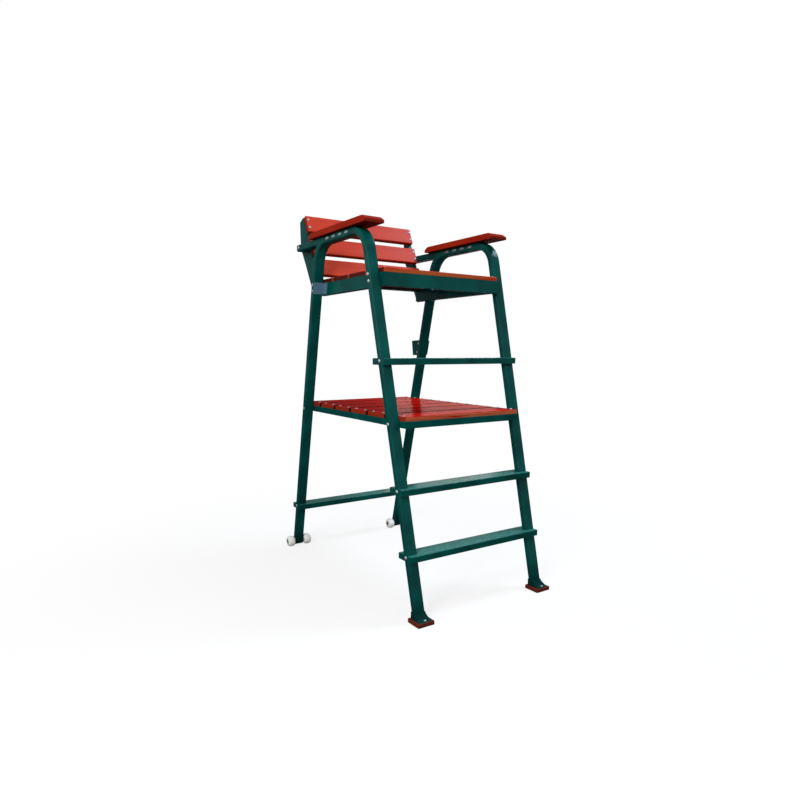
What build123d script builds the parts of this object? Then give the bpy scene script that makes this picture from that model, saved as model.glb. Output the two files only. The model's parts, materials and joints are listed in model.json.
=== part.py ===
from build123d import *
import os
from math import cos, radians, sin, sqrt, tan

os.makedirs("parts", exist_ok=True)

# Tennis umpire chair. Two bent tube side frames stand on front foot pads and rear
# rollers. Treads, a slatted deck, a slatted seat and a slatted back join them.
#
# Frame of reference: origin on the floor in the middle of the chair's overall box,
# +X to the sitter's left, -Y to the front, +Z up. Millimetres and degrees.

# --- Side frames -------------------------------------------------------------
INNER_WIDTH = 687.2          # clear width between the two side frames
TUBE_WIDTH = 54.1            # frame tube, across the chair
TUBE_DEPTH = 33.0            # frame tube, in the plane of the side frame
TUBE_WALL = 2.5
TUBE_CORNER = 6.0            # outer corner radius of the tube
BEND_RADIUS = 122.0          # centre-line radius of both upper bends
ARM_TOP = 1761.5             # height of the arm tube's upper face
FRONT_LEAN = 14.1            # front legs, from the vertical
REAR_LEAN = 14.6             # rear legs, from the vertical
FRONT_FACE_AT_FLOOR = -680.8
REAR_FACE_AT_FLOOR = 720.3
REAR_LEG_CLEARANCE = 9.0     # floor to the cut end of a rear leg
SLOT_LENGTH = 34.0           # grip slots through each arm tube
SLOT_HEIGHT = 12.0
SLOT_PITCH = 66.2
SLOT_COUNT = 4
SLOT_MIDDLE_Y = 20.0         # middle of the row of slots
SLOT_DROP = 13.5             # arm top to the slots' centre line

# --- Arm tails and armrest boards -----------------------------------------------
TAIL_BEHIND_SLATS = 42.7     # arm tail's rear end behind the back slats
TAIL_START_DROP = 4.0        # depth of the tail's front end on the bend
BOARD_WIDTH = 102.0
BOARD_THICKNESS = 28.8
BOARD_OUTBOARD = 19.0        # board edge outside the arm tube
BOARD_FRONT = -286.0
BOARD_REAR = 294.0
BOARD_NOSE = 12.2            # height left at the bevelled ends
BOARD_BEVEL = 28.4           # length of the end bevels
BOARD_EDGE = 4.0             # rounding of the board's edges
BOARD_SCREW_SPACING = 132.4

# --- Treads ----------------------------------------------------------------------
LOWER_STEP_TOP = 305.0
MIDDLE_STEP_TOP = 600.0
FOOTREST_TOP = 1176.0
CROSSBAR_TOP = 285.0
TREAD_HEIGHT = 29.5
TREAD_AHEAD = 26.0           # tread in front of the leg
TREAD_BEHIND = 40.0          # tread behind the leg
TREAD_SHEET = 3.0
TREAD_FOLD = 4.0             # outside radius of the folds
TREAD_BOLT_DROP = 12.0       # tread top to the bolt
NOTCH_CLEARANCE = 0.3        # tread notch to the leg

# --- Deck --------------------------------------------------------------------------
DECK_TOP = 920.0
DECK_SLAT_COUNT = 6
DECK_SLAT_THICKNESS = 21.0
DECK_SLAT_GAP = 8.0
DECK_FRONT_OVERHANG = 55.0   # deck ahead of the front legs
DECK_REAR_OVERHANG = 59.0    # deck behind the rear legs
DECK_RAIL_HEIGHT = 31.0
DECK_RAIL_WIDTH = 32.0
DECK_SCREW_SPREAD = 94.0     # between the two screws of a slat end
DECK_BOLT_DROP = 14.0        # rail top to the frame bolt

# --- Seat --------------------------------------------------------------------------
SEAT_TOP = 1574.0
SEAT_SLAT_COUNT = 4
SEAT_SLAT_THICKNESS = 20.4
SEAT_SLAT_GAP = 8.0
SEAT_FRONT_OVERHANG = 35.6   # seat ahead of the front legs
SEAT_REAR_OVERHANG = 44.7    # seat behind the rear legs
SEAT_RAIL_HEIGHT = 58.5
SEAT_RAIL_WIDTH = 40.0
SEAT_SCREW_SPREAD = 120.0
SEAT_BOLT_DROP = 11.5        # rail top to the upper frame bolt
SEAT_BOLT_SPREAD = 30.0      # upper to lower frame bolt
SEAT_BAR_WIDTH = 50.0        # flat bar under the rear slat
SEAT_BAR_THICKNESS = 5.0
SEAT_UNDER_BOLT_X = -55.0    # bolt in the underside of the front rail
PLUG_LIP = 4.0
PLUG_DEPTH = 14.0
PLUG_CLEARANCE = 0.2

# --- Rails, common -------------------------------------------------------------------
RAIL_WALL = 2.0
RAIL_CORNER = 3.0

# --- Back ------------------------------------------------------------------------------
BACK_LEAN = 24.3             # back slats, from the vertical
BACK_MIDDLE_Y = 417.5        # middle slat's face centre
BACK_MIDDLE_Z = 1762.0
BACK_SLAT_CLEARANCE = 2.6    # back slat's end to the side frame
BACK_SLAT_HEIGHT = 93.0
BACK_SLAT_GAP = 33.0
BACK_SLAT_THICKNESS = 25.0
BACK_BOLT_SPREAD = 44.0
PLATE_THICKNESS = 4.0
PLATE_FLANGE = 28.0          # flange that carries the slats
PLATE_TOP_DEPTH = 44.0       # plate behind the flange at the top
PLATE_REAR_DROP = 132.0      # length of the plate's upright rear edge
PLATE_WAIST_Y = 487.0
PLATE_WAIST_Z = 1650.0
PLATE_FOOT_REAR = 107.0      # plate's lower rear corner behind the rear leg's front
PLATE_FOOT_RISE = 65.0       # height of the foot on the rear leg
TAIL_BOLT_INSET = 20.0       # tail's rear end to its bolt

# --- Slats, common ---------------------------------------------------------------------
SLAT_EDGE = 5.0              # rounding of a slat's show edges
SLAT_UNDER_EDGE = 2.0
SLAT_CORNER = 6.0            # rounding of a slat's corners in plan
SLAT_END_CLEARANCE = 0.5     # slat end to the side frame

# --- Rear seat cleats -------------------------------------------------------------------
CLEAT_SHEET = 3.0
CLEAT_REACH = 40.0
CLEAT_HEIGHT = 56.0

# --- Front feet --------------------------------------------------------------------------
PAD_SIZE = 90.0
PAD_THICKNESS = 18.0
PAD_CORNER = 5.0
PAD_FORWARD = 17.4           # pad centre ahead of the leg's
COLLAR_BASE = 84.0
COLLAR_HEIGHT = 28.0
COLLAR_CORNER = 5.0
COLLAR_RIM = 3.0             # collar's upper rim around the leg
COLLAR_CLEARANCE = 0.3
FOOT_BOLT_FORWARD = 30.0     # ahead of the pad's centre
FOOT_BOLT_SEAT = 6.0         # height of the bolt's seat in the collar

# --- Rollers -----------------------------------------------------------------------------
ROLLER_DIAMETER = 66.0
ROLLER_WIDTH = 46.0
ROLLER_END_RADIUS = 19.0     # rounding of a roller's ends
ROLLER_GAP = 3.0             # leg to roller
ROLLER_RECESS_DIAMETER = 27.0
ROLLER_RECESS_DEPTH = 6.0
AXLE_DIAMETER = 12.0
AXLE_CLEARANCE = 0.05        # radial, roller on axle
AXLE_FORWARD = 6.0           # axle ahead of the leg's centre line
AXLE_CAP_DIAMETER = 22.0
AXLE_CAP_THICKNESS = 4.0
WASHER_DIAMETER = 24.0
RUNNING_GAP = 0.5            # end play beside each roller

# --- Umbrella pole bracket -----------------------------------------------------------------
SOCKET_TOP = 1269.0
SOCKET_HEIGHT = 84.0
SOCKET_BORE = 42.0
SOCKET_LET_IN = 1.5          # socket tube let into each cheek
SOCKET_FLOOR = 5.0
SOCKET_LEAN = 8.0            # pole leans back past the arm tail, from the vertical
SOCKET_CLEARANCE = 0.2       # foot of the socket tube to the leg
CHEEK_THICKNESS = 4.0
CHEEK_BOLT_INSET = 17.0

# --- Fasteners -------------------------------------------------------------------------------
FRAME_BOLT = 8.0             # shank diameter
FRAME_BOLT_HEAD = 18.0
FRAME_BOLT_DOME = 6.0
FRAME_NUT = 13.0             # across flats
FRAME_NUT_HEIGHT = 6.5
SLAT_SCREW = 6.0
SLAT_SCREW_HEAD = 14.0
SLAT_SCREW_DOME = 4.5
SLAT_NUT = 10.0
SLAT_NUT_HEIGHT = 5.0
HOLE_CLEARANCE = 0.2         # radial, fastener in its hole
THREAD_CLEARANCE = 0.05      # radial, nut on its thread
THREAD_OVERRUN = 3.0         # thread past the nut
DOME_RIM = 0.25              # straight rim of a dome head, as a share of the dome

# --- Worked out from the above ------------------------------------------------------------------
SIDES = {"right": -1, "left": 1}
INNER_HALF = INNER_WIDTH / 2
OUTER_HALF = INNER_HALF + TUBE_WIDTH
FRAME_CENTRE = INNER_HALF + TUBE_WIDTH / 2
ARM_CENTRE = ARM_TOP - TUBE_DEPTH / 2
FRONT_RUN = TUBE_DEPTH / cos(radians(FRONT_LEAN))
REAR_RUN = TUBE_DEPTH / cos(radians(REAR_LEAN))
DECK_RAIL_TOP = DECK_TOP - DECK_SLAT_THICKNESS
DECK_BOLT_Z = DECK_RAIL_TOP - DECK_BOLT_DROP
SEAT_RAIL_TOP = SEAT_TOP - SEAT_SLAT_THICKNESS
SEAT_RAIL_BOTTOM = SEAT_RAIL_TOP - SEAT_RAIL_HEIGHT
SEAT_RAIL_HALF = INNER_HALF - PLATE_THICKNESS
SEAT_BOLT_HEIGHTS = (SEAT_RAIL_TOP - SEAT_BOLT_DROP, SEAT_RAIL_TOP - SEAT_BOLT_DROP - SEAT_BOLT_SPREAD)
AXLE_Z = ROLLER_DIAMETER / 2
TREAD_TOPS = {"lower_step": LOWER_STEP_TOP, "middle_step": MIDDLE_STEP_TOP, "footrest": FOOTREST_TOP}


def front_leg(z):
    """Front and rear face of a front leg at height z."""
    face = FRONT_FACE_AT_FLOOR + z * tan(radians(FRONT_LEAN))
    return face, face + FRONT_RUN


def rear_leg(z):
    """Front and rear face of a rear leg at height z."""
    face = REAR_FACE_AT_FLOOR - z * tan(radians(REAR_LEAN))
    return face - REAR_RUN, face


def middle(pair):
    """Middle of a pair of faces."""
    return sum(pair) / 2


def leg_band(leg, low, high, clearance):
    """Outline (y, z) of a leg between two heights, grown by a clearance."""
    bottom_front, bottom_rear = leg(low)
    top_front, top_rear = leg(high)
    return (
        (bottom_front - clearance, low),
        (bottom_rear + clearance, low),
        (top_rear + clearance, high),
        (top_front - clearance, high),
    )


def outward(side, x, y, z):
    """Plane at a point, facing out of the given side of the chair."""
    return Plane(origin=(side * x, y, z), x_dir=(0, side, 0), z_dir=(side, 0, 0))


def save(piece, name):
    """Label a finished piece and write it to its own file."""
    piece.part.label = name
    export_step(piece.part, f"parts/{name}.step")


# --- Fasteners ------------------------------------------------------------------------------------


def dome_fastener(shank, head, dome, length, nut=0.0, nut_height=0.0):
    """Dome-headed fastener, head seat on XY and shank down -Z, with a nut at its end."""
    rim = dome * DOME_RIM
    rise = dome - rim
    ball = ((head / 2) ** 2 + rise**2) / (2 * rise)
    quarter_height = dome - ball + sqrt(ball**2 - (head / 4) ** 2)
    with BuildPart() as fastener:
        with BuildSketch(Plane.XZ):
            with BuildLine():
                ThreePointArc((0, dome), (head / 4, quarter_height), (head / 2, rim))
                Polyline(
                    (head / 2, rim),
                    (head / 2, 0),
                    (shank / 2, 0),
                    (shank / 2, -length),
                    (0, -length),
                    (0, dome),
                )
            make_face()
        revolve(axis=Axis.Z)
        if nut:
            with BuildSketch(Plane.XY.offset(THREAD_OVERRUN - length)):
                RegularPolygon(nut / 2, 6, major_radius=False)
                Circle(shank / 2 + THREAD_CLEARANCE, mode=Mode.SUBTRACT)
            extrude(amount=nut_height)
    return fastener.part


def nutted_length(grip, nut_height):
    """Shank length for a bolt that clamps the given grip with its nut."""
    return grip + nut_height + THREAD_OVERRUN


def frame_bolt(grip):
    """Bolt that clamps a grip between its dome head and its nut."""
    length = nutted_length(grip, FRAME_NUT_HEIGHT)
    return dome_fastener(FRAME_BOLT, FRAME_BOLT_HEAD, FRAME_BOLT_DOME, length, FRAME_NUT, FRAME_NUT_HEIGHT)


def fastener_group(places):
    """Group of loose fasteners, from pairs of a fastener and its planes."""
    with BuildPart() as group:
        for fastener, planes in places:
            with Locations(*planes):
                add(fastener)
    return group


# --- Where the frame bolts go ----------------------------------------------------------------------


def tread_bolts():
    """(y, z) of the tread and crossbar bolts."""
    spots = [(middle(front_leg(top - TREAD_BOLT_DROP)), top - TREAD_BOLT_DROP) for top in TREAD_TOPS.values()]
    height = CROSSBAR_TOP - TREAD_BOLT_DROP
    return spots + [(middle(rear_leg(height)), height)]


def deck_bolts():
    """(y, z) of the bolts through the legs into the deck side rails."""
    return [(middle(leg(DECK_BOLT_Z)), DECK_BOLT_Z) for leg in (front_leg, rear_leg)]


def seat_bolts():
    """(y, z) of the bolts through the legs into the seat side rails."""
    return [(middle(leg(height)), height) for leg in (front_leg, rear_leg) for height in SEAT_BOLT_HEIGHTS]


def tail_bolt():
    """(y, z) of the bolt through an arm tail into its back plate."""
    return tail_rear() - TAIL_BOLT_INSET, ARM_CENTRE


def socket_bolts():
    """(y, z) of the bolts through the left rear leg and the bracket cheeks."""
    heights = (SOCKET_TOP - CHEEK_BOLT_INSET, SOCKET_TOP - SOCKET_HEIGHT + CHEEK_BOLT_INSET)
    return [(middle(rear_leg(height)), height) for height in heights]


# --- Side frames ---------------------------------------------------------------------------------


def frame_route(side):
    """Centre line of a side frame: front leg, arm and rear leg."""
    with BuildLine(Plane.YZ.offset(side * FRAME_CENTRE)) as route:
        FilletPolyline(
            (middle(front_leg(0)), 0),
            (middle(front_leg(ARM_CENTRE)), ARM_CENTRE),
            (middle(rear_leg(ARM_CENTRE)), ARM_CENTRE),
            (middle(rear_leg(0)), 0),
            radius=BEND_RADIUS,
        )
    return route.line


def frame_bar(side, clearance=0.0, hollow=True):
    """Side frame tube along its route, hollow or as a solid envelope."""
    route = frame_route(side)
    with BuildPart() as bar:
        with BuildSketch(Plane(origin=route @ 0, x_dir=(1, 0, 0), z_dir=route % 0)):
            RectangleRounded(TUBE_WIDTH + 2 * clearance, TUBE_DEPTH + 2 * clearance, TUBE_CORNER)
            if hollow:
                RectangleRounded(
                    TUBE_WIDTH - 2 * TUBE_WALL,
                    TUBE_DEPTH - 2 * TUBE_WALL,
                    TUBE_CORNER - TUBE_WALL,
                    mode=Mode.SUBTRACT,
                )
        sweep(path=route)
    return bar.part


def side_frame(side):
    """One bent tube side frame with its cut ends, grip slots and bolt holes."""
    spots = tread_bolts() + deck_bolts() + seat_bolts()
    if side == SIDES["left"]:
        spots = spots + socket_bolts()
    across = Plane.YZ.offset(side * FRAME_CENTRE)
    with BuildPart() as frame:
        add(frame_bar(side))
        with BuildSketch(across):
            with Locations((middle(front_leg(0)), 0)):
                Rectangle(PAD_SIZE, 2 * PAD_THICKNESS)
            with Locations((middle(rear_leg(0)), 0)):
                Rectangle(PAD_SIZE, 2 * REAR_LEG_CLEARANCE)
        extrude(amount=TUBE_WIDTH, both=True, mode=Mode.SUBTRACT)
        with BuildSketch(across):
            with Locations(*spots):
                Circle(FRAME_BOLT / 2 + HOLE_CLEARANCE)
            with Locations((axle_y(), AXLE_Z)):
                Circle(AXLE_DIAMETER / 2 + AXLE_CLEARANCE)
            with Locations((SLOT_MIDDLE_Y, ARM_TOP - SLOT_DROP)):
                with GridLocations(SLOT_PITCH, SLOT_HEIGHT, SLOT_COUNT, 1):
                    SlotOverall(SLOT_LENGTH, SLOT_HEIGHT)
        extrude(amount=TUBE_WIDTH, both=True, mode=Mode.SUBTRACT)
        with BuildSketch(Plane.XY.offset(ARM_TOP - TUBE_WALL)):
            with Locations(*board_screw_points(side)):
                Circle(SLAT_SCREW / 2 + HOLE_CLEARANCE)
        extrude(amount=2 * TUBE_WALL, mode=Mode.SUBTRACT)
    return frame


def bend_start():
    """Where the arm's straight stretch ends at the rear bend."""
    return middle(rear_leg(ARM_CENTRE)) - BEND_RADIUS * tan(radians(90 - REAR_LEAN) / 2)


def tail_rear():
    """Rear end of the arm tails, a set way behind the plane that the back slats lie on."""
    slat_rear = back_seat.origin.Y + (ARM_CENTRE - back_seat.origin.Z) * tan(radians(BACK_LEAN))
    return slat_rear + TAIL_BEHIND_SLATS


def arm_tail(side):
    """Short tube that carries the arm on behind the rear bend, coped onto it."""
    bend_outside = BEND_RADIUS + TUBE_DEPTH / 2
    start = bend_start() + sqrt(bend_outside**2 - (bend_outside - TAIL_START_DROP) ** 2)
    with BuildPart() as tail:
        with BuildSketch(Plane.XZ.offset(-start)):
            with Locations((side * FRAME_CENTRE, ARM_CENTRE)):
                RectangleRounded(TUBE_WIDTH, TUBE_DEPTH, TUBE_CORNER)
                RectangleRounded(
                    TUBE_WIDTH - 2 * TUBE_WALL,
                    TUBE_DEPTH - 2 * TUBE_WALL,
                    TUBE_CORNER - TUBE_WALL,
                    mode=Mode.SUBTRACT,
                )
        extrude(amount=start - tail_rear())
        add(frame_bar(side, hollow=False), mode=Mode.SUBTRACT)
        with BuildSketch(Plane.YZ.offset(side * FRAME_CENTRE)):
            with Locations(tail_bolt()):
                Circle(FRAME_BOLT / 2 + HOLE_CLEARANCE)
        extrude(amount=TUBE_WIDTH, both=True, mode=Mode.SUBTRACT)
    return tail


def tube_plugs(centres, rear, width, height, wall, corner):
    """Plugs that close the rear ends of tubes, each with a lip and a tongue inside the tube."""
    play = 2 * (wall + PLUG_CLEARANCE)
    with BuildPart() as plugs:
        with BuildSketch(Plane.XZ.offset(-rear)):
            with Locations(*centres):
                RectangleRounded(width, height, corner)
        extrude(amount=-PLUG_LIP)
        with BuildSketch(Plane.XZ.offset(-rear)):
            with Locations(*centres):
                RectangleRounded(width - play, height - play, corner - wall)
        extrude(amount=PLUG_DEPTH)
    return plugs


# --- Armrest boards ---------------------------------------------------------------------------------


def board_screw_points(side):
    """(x, y) of the screws that hold a board down on its arm tube."""
    reach = BOARD_SCREW_SPACING / 2
    return [(side * FRAME_CENTRE, SLOT_MIDDLE_Y + step * reach) for step in (-1, 1)]


def armrest(side):
    """Armrest board with bevelled ends."""
    outer = OUTER_HALF + BOARD_OUTBOARD
    top = ARM_TOP + BOARD_THICKNESS
    nose = ARM_TOP + BOARD_NOSE
    with BuildPart() as board:
        with BuildSketch(Plane.YZ.offset(side * (outer - BOARD_WIDTH / 2))):
            Polygon(
                (BOARD_FRONT, ARM_TOP),
                (BOARD_REAR, ARM_TOP),
                (BOARD_REAR, nose),
                (BOARD_REAR - BOARD_BEVEL, top),
                (BOARD_FRONT + BOARD_BEVEL, top),
                (BOARD_FRONT, nose),
                align=None,
            )
        extrude(amount=BOARD_WIDTH / 2, both=True)
        fillet(board.edges().filter_by(Axis.X, reverse=True).group_by(Axis.Z)[-1], BOARD_EDGE)
        with BuildSketch(Plane.XY.offset(ARM_TOP)):
            with Locations(*board_screw_points(side)):
                Circle(SLAT_SCREW / 2)
        extrude(amount=BOARD_THICKNESS / 2, mode=Mode.SUBTRACT)
    return board


def armrest_screws():
    """Screws from inside the arm tubes up into the boards."""
    length = TUBE_WALL + BOARD_THICKNESS / 2
    screw = dome_fastener(SLAT_SCREW, SLAT_SCREW_HEAD, SLAT_SCREW_DOME, length)
    height = ARM_TOP - TUBE_WALL
    points = [point for side in SIDES.values() for point in board_screw_points(side)]
    return fastener_group([(screw, [Plane(origin=(x, y, height), z_dir=(0, 0, -1)) for x, y in points])])


# --- Treads -------------------------------------------------------------------------------------------


def tread(top, leg):
    """Folded channel tread, notched round both legs, with a bolting tab at each."""
    bottom = top - TREAD_HEIGHT
    front = leg(top)[0] - TREAD_AHEAD
    rear = leg(top)[1] + TREAD_BEHIND
    bolt_height = top - TREAD_BOLT_DROP
    with BuildPart() as step:
        with BuildSketch(Plane.XY.offset(bottom)):
            with Locations((0, (front + rear) / 2)):
                Rectangle(2 * OUTER_HALF, rear - front)
        extrude(amount=TREAD_HEIGHT)
        fillet(step.edges().filter_by(Axis.X).group_by(Axis.Z)[-1], TREAD_FOLD)
        with BuildSketch(Plane.XY.offset(bottom)):
            with Locations((0, (front + rear) / 2)):
                Rectangle(2 * (OUTER_HALF - TREAD_SHEET), rear - front - 2 * TREAD_SHEET)
        extrude(amount=TREAD_HEIGHT - TREAD_SHEET, mode=Mode.SUBTRACT)
        for side in SIDES.values():
            with BuildSketch(Plane.YZ.offset(side * INNER_HALF)):
                Polygon(*leg_band(leg, bottom, top, NOTCH_CLEARANCE), align=None)
            extrude(amount=side * TUBE_WIDTH, mode=Mode.SUBTRACT)
            with BuildSketch(Plane.YZ.offset(side * INNER_HALF)):
                Polygon(*leg_band(leg, bottom, top - TREAD_SHEET, NOTCH_CLEARANCE), align=None)
                with Locations((middle(leg(bolt_height)), bolt_height)):
                    Circle(FRAME_BOLT / 2 + HOLE_CLEARANCE, mode=Mode.SUBTRACT)
            extrude(amount=-side * TREAD_SHEET)
    return step


# --- Slats ----------------------------------------------------------------------------------------------


def slat(plane, length, width, thickness, screw_x, screw_spread):
    """Rounded slat lying on a plane, centred on its origin, with four screw holes."""
    with BuildPart() as board:
        with BuildSketch(plane):
            RectangleRounded(length, width, SLAT_CORNER)
        extrude(amount=thickness)
        across = Axis(plane.origin, plane.z_dir)
        fillet(board.faces().sort_by(across)[-1].edges(), SLAT_EDGE)
        fillet(board.faces().sort_by(across)[0].edges(), SLAT_UNDER_EDGE)
        with BuildSketch(plane):
            with GridLocations(2 * screw_x, screw_spread, 2, 2):
                Circle(SLAT_SCREW / 2 + HOLE_CLEARANCE)
        extrude(amount=thickness, mode=Mode.SUBTRACT)
    return board


def slat_planes(front, rear, count, height):
    """Level planes under each slat of an evenly filled row."""
    pitch = (rear - front) / count
    return [Plane.XY.offset(height).move(Location((0, front + pitch * (index + 0.5), 0))) for index in range(count)]


def screw_planes(planes, thickness, screw_x, screw_spread):
    """Planes on the show faces of slats where their screw heads sit."""
    return [
        Plane(origin=plane.from_local_coords((x, y, thickness)), x_dir=plane.x_dir, z_dir=plane.z_dir)
        for plane in planes
        for x in (-screw_x, screw_x)
        for y in (-screw_spread / 2, screw_spread / 2)
    ]


# --- Rails ----------------------------------------------------------------------------------------------


def rail(outline, bottom, height, bore, drillings):
    """Box-section rail: plan outline raised to a height, bored along its length and drilled.

    The bore is its plane, centre, size and length. A drilling is the plane of a wall's
    outer face, the points on it and the fastener's diameter.
    """
    bore_plane, bore_centre, bore_size, bore_length = bore
    with BuildPart() as tube:
        with BuildSketch(Plane.XY.offset(bottom)):
            Polygon(*outline, align=None)
        extrude(amount=height)
        with BuildSketch(bore_plane):
            with Locations(bore_centre):
                RectangleRounded(*bore_size, RAIL_CORNER - RAIL_WALL)
        extrude(amount=bore_length, mode=Mode.SUBTRACT)
        for plane, points, diameter in drillings:
            with BuildSketch(plane):
                with Locations(*points):
                    Circle(diameter / 2 + HOLE_CLEARANCE)
            extrude(amount=RAIL_CORNER, both=True, mode=Mode.SUBTRACT)
    return tube


def cross_rail(half, outer_y, inward, width, bottom, height, drillings=()):
    """Rail across the chair, mitred at both ends, its outer face at outer_y."""
    inner_y = outer_y + inward * width
    outline = ((-half, outer_y), (half, outer_y), (half - width, inner_y), (width - half, inner_y))
    centre = ((outer_y + inner_y) / 2, bottom + height / 2)
    size = (width - 2 * RAIL_WALL, height - 2 * RAIL_WALL)
    bore = (Plane.YZ.offset(-half), centre, size, 2 * half)
    return rail(outline, bottom, height, bore, drillings)


def side_rail(side, half, front, rear, rear_mitre, width, bottom, height, bolts, screws):
    """Rail along one side, mitred in front and, if asked, behind, drilled for bolts and screws."""
    outer_x = side * half
    inner_x = side * (half - width)
    outline = ((outer_x, front), (outer_x, rear), (inner_x, rear - rear_mitre), (inner_x, front + width))
    centre = ((outer_x + inner_x) / 2, bottom + height / 2)
    size = (width - 2 * RAIL_WALL, height - 2 * RAIL_WALL)
    bore = (Plane.XZ.offset(-front), centre, size, front - rear)
    drillings = (
        (Plane.YZ.offset(outer_x), bolts, FRAME_BOLT),
        (Plane.XY.offset(bottom + height), screws, SLAT_SCREW),
    )
    return rail(outline, bottom, height, bore, drillings)


# --- Deck -----------------------------------------------------------------------------------------------

deck_front = front_leg(DECK_TOP)[0] - DECK_FRONT_OVERHANG
deck_rear = rear_leg(DECK_TOP)[1] + DECK_REAR_OVERHANG
deck_rail_bottom = DECK_RAIL_TOP - DECK_RAIL_HEIGHT
deck_screw_x = INNER_HALF - DECK_RAIL_WIDTH / 2
deck_planes = slat_planes(deck_front, deck_rear, DECK_SLAT_COUNT, DECK_RAIL_TOP)
deck_slat_length = 2 * (INNER_HALF - SLAT_END_CLEARANCE)
deck_slat_width = (deck_rear - deck_front) / DECK_SLAT_COUNT - DECK_SLAT_GAP
deck_screw_planes = screw_planes(deck_planes, DECK_SLAT_THICKNESS, deck_screw_x, DECK_SCREW_SPREAD)


def rail_points(planes, side):
    """(x, y) of the screws that go down into one side rail."""
    return [(plane.origin.X, plane.origin.Y) for plane in planes if plane.origin.X * side > 0]


# --- Seat -----------------------------------------------------------------------------------------------

seat_front = front_leg(SEAT_TOP)[0] - SEAT_FRONT_OVERHANG
seat_rear = rear_leg(SEAT_TOP)[1] + SEAT_REAR_OVERHANG
seat_screw_x = SEAT_RAIL_HALF - SEAT_RAIL_WIDTH / 2
seat_planes = slat_planes(seat_front, seat_rear, SEAT_SLAT_COUNT, SEAT_RAIL_TOP)
seat_slat_length = 2 * (SEAT_RAIL_HALF - SLAT_END_CLEARANCE)
seat_slat_width = (seat_rear - seat_front) / SEAT_SLAT_COUNT - SEAT_SLAT_GAP
seat_screw_planes = screw_planes(seat_planes, SEAT_SLAT_THICKNESS, seat_screw_x, SEAT_SCREW_SPREAD)


def seat_rear_bar():
    """Flat bar let in under the rear slat, welded between the side rails."""
    half = SEAT_RAIL_HALF - SEAT_RAIL_WIDTH
    with BuildPart() as bar:
        with BuildSketch(Plane.XY.offset(SEAT_RAIL_TOP)):
            with Locations((0, seat_rear - SEAT_BAR_WIDTH / 2)):
                Rectangle(2 * half, SEAT_BAR_WIDTH)
        extrude(amount=-SEAT_BAR_THICKNESS)
    return bar


def seat_spacers():
    """Packing plates between the front legs and the seat side rails."""
    bottom = SEAT_RAIL_BOTTOM
    with BuildPart() as spacers:
        for side in SIDES.values():
            with BuildSketch(Plane.YZ.offset(side * INNER_HALF)):
                Polygon(*leg_band(front_leg, bottom, SEAT_RAIL_TOP, 0), align=None)
                with Locations(*seat_bolts()[: len(SEAT_BOLT_HEIGHTS)]):
                    Circle(FRAME_BOLT / 2 + HOLE_CLEARANCE, mode=Mode.SUBTRACT)
            extrude(amount=-side * PLATE_THICKNESS)
    return spacers


def seat_cleat(side):
    """Angle cleat in the corner between a rear leg and the seat side rail."""
    low = SEAT_RAIL_TOP - CLEAT_HEIGHT
    high = SEAT_RAIL_TOP
    low_face = rear_leg(low)[0]
    high_face = rear_leg(high)[0]
    with BuildPart() as cleat:
        with BuildSketch(Plane.YZ.offset(side * SEAT_RAIL_HALF)):
            Polygon(
                (low_face - CLEAT_SHEET, low),
                (low_face, low),
                (high_face, high),
                (high_face - CLEAT_SHEET, high),
                align=None,
            )
        extrude(amount=side * (OUTER_HALF - SEAT_RAIL_HALF))
        with BuildSketch(Plane.YZ.offset(side * SEAT_RAIL_HALF)):
            Polygon(
                (low_face - CLEAT_REACH, low),
                (low_face - CLEAT_SHEET, low),
                (high_face - CLEAT_SHEET, high),
                (high_face - CLEAT_REACH, high),
                align=None,
            )
        extrude(amount=side * CLEAT_SHEET)
    return cleat


# --- Back -----------------------------------------------------------------------------------------------

back_face = Plane(origin=(0, BACK_MIDDLE_Y, BACK_MIDDLE_Z), x_dir=(1, 0, 0), z_dir=(0, -1, 0)).rotated(
    (-BACK_LEAN, 0, 0)
)
back_seat = back_face.offset(-BACK_SLAT_THICKNESS)
back_pitch = BACK_SLAT_HEIGHT + BACK_SLAT_GAP
back_slat_length = INNER_WIDTH - 2 * BACK_SLAT_CLEARANCE
back_bolt_x = INNER_HALF - (PLATE_THICKNESS + PLATE_FLANGE) / 2


def back_plane(step):
    """Plane behind the slat that lies a number of pitches above the middle one."""
    origin = back_seat.from_local_coords((0, step * back_pitch, 0))
    return Plane(origin=origin, x_dir=back_seat.x_dir, z_dir=back_seat.z_dir)


back_planes = {"top": back_plane(1), "middle": back_plane(0), "bottom": back_plane(-1)}
back_reach = back_pitch + BACK_SLAT_HEIGHT / 2


def back_point(along, behind):
    """(y, z) of a point on the back's side view: distance up the face and behind the seat of the slats."""
    point = back_seat.from_local_coords((0, along, -behind))
    return point.Y, point.Z


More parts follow.
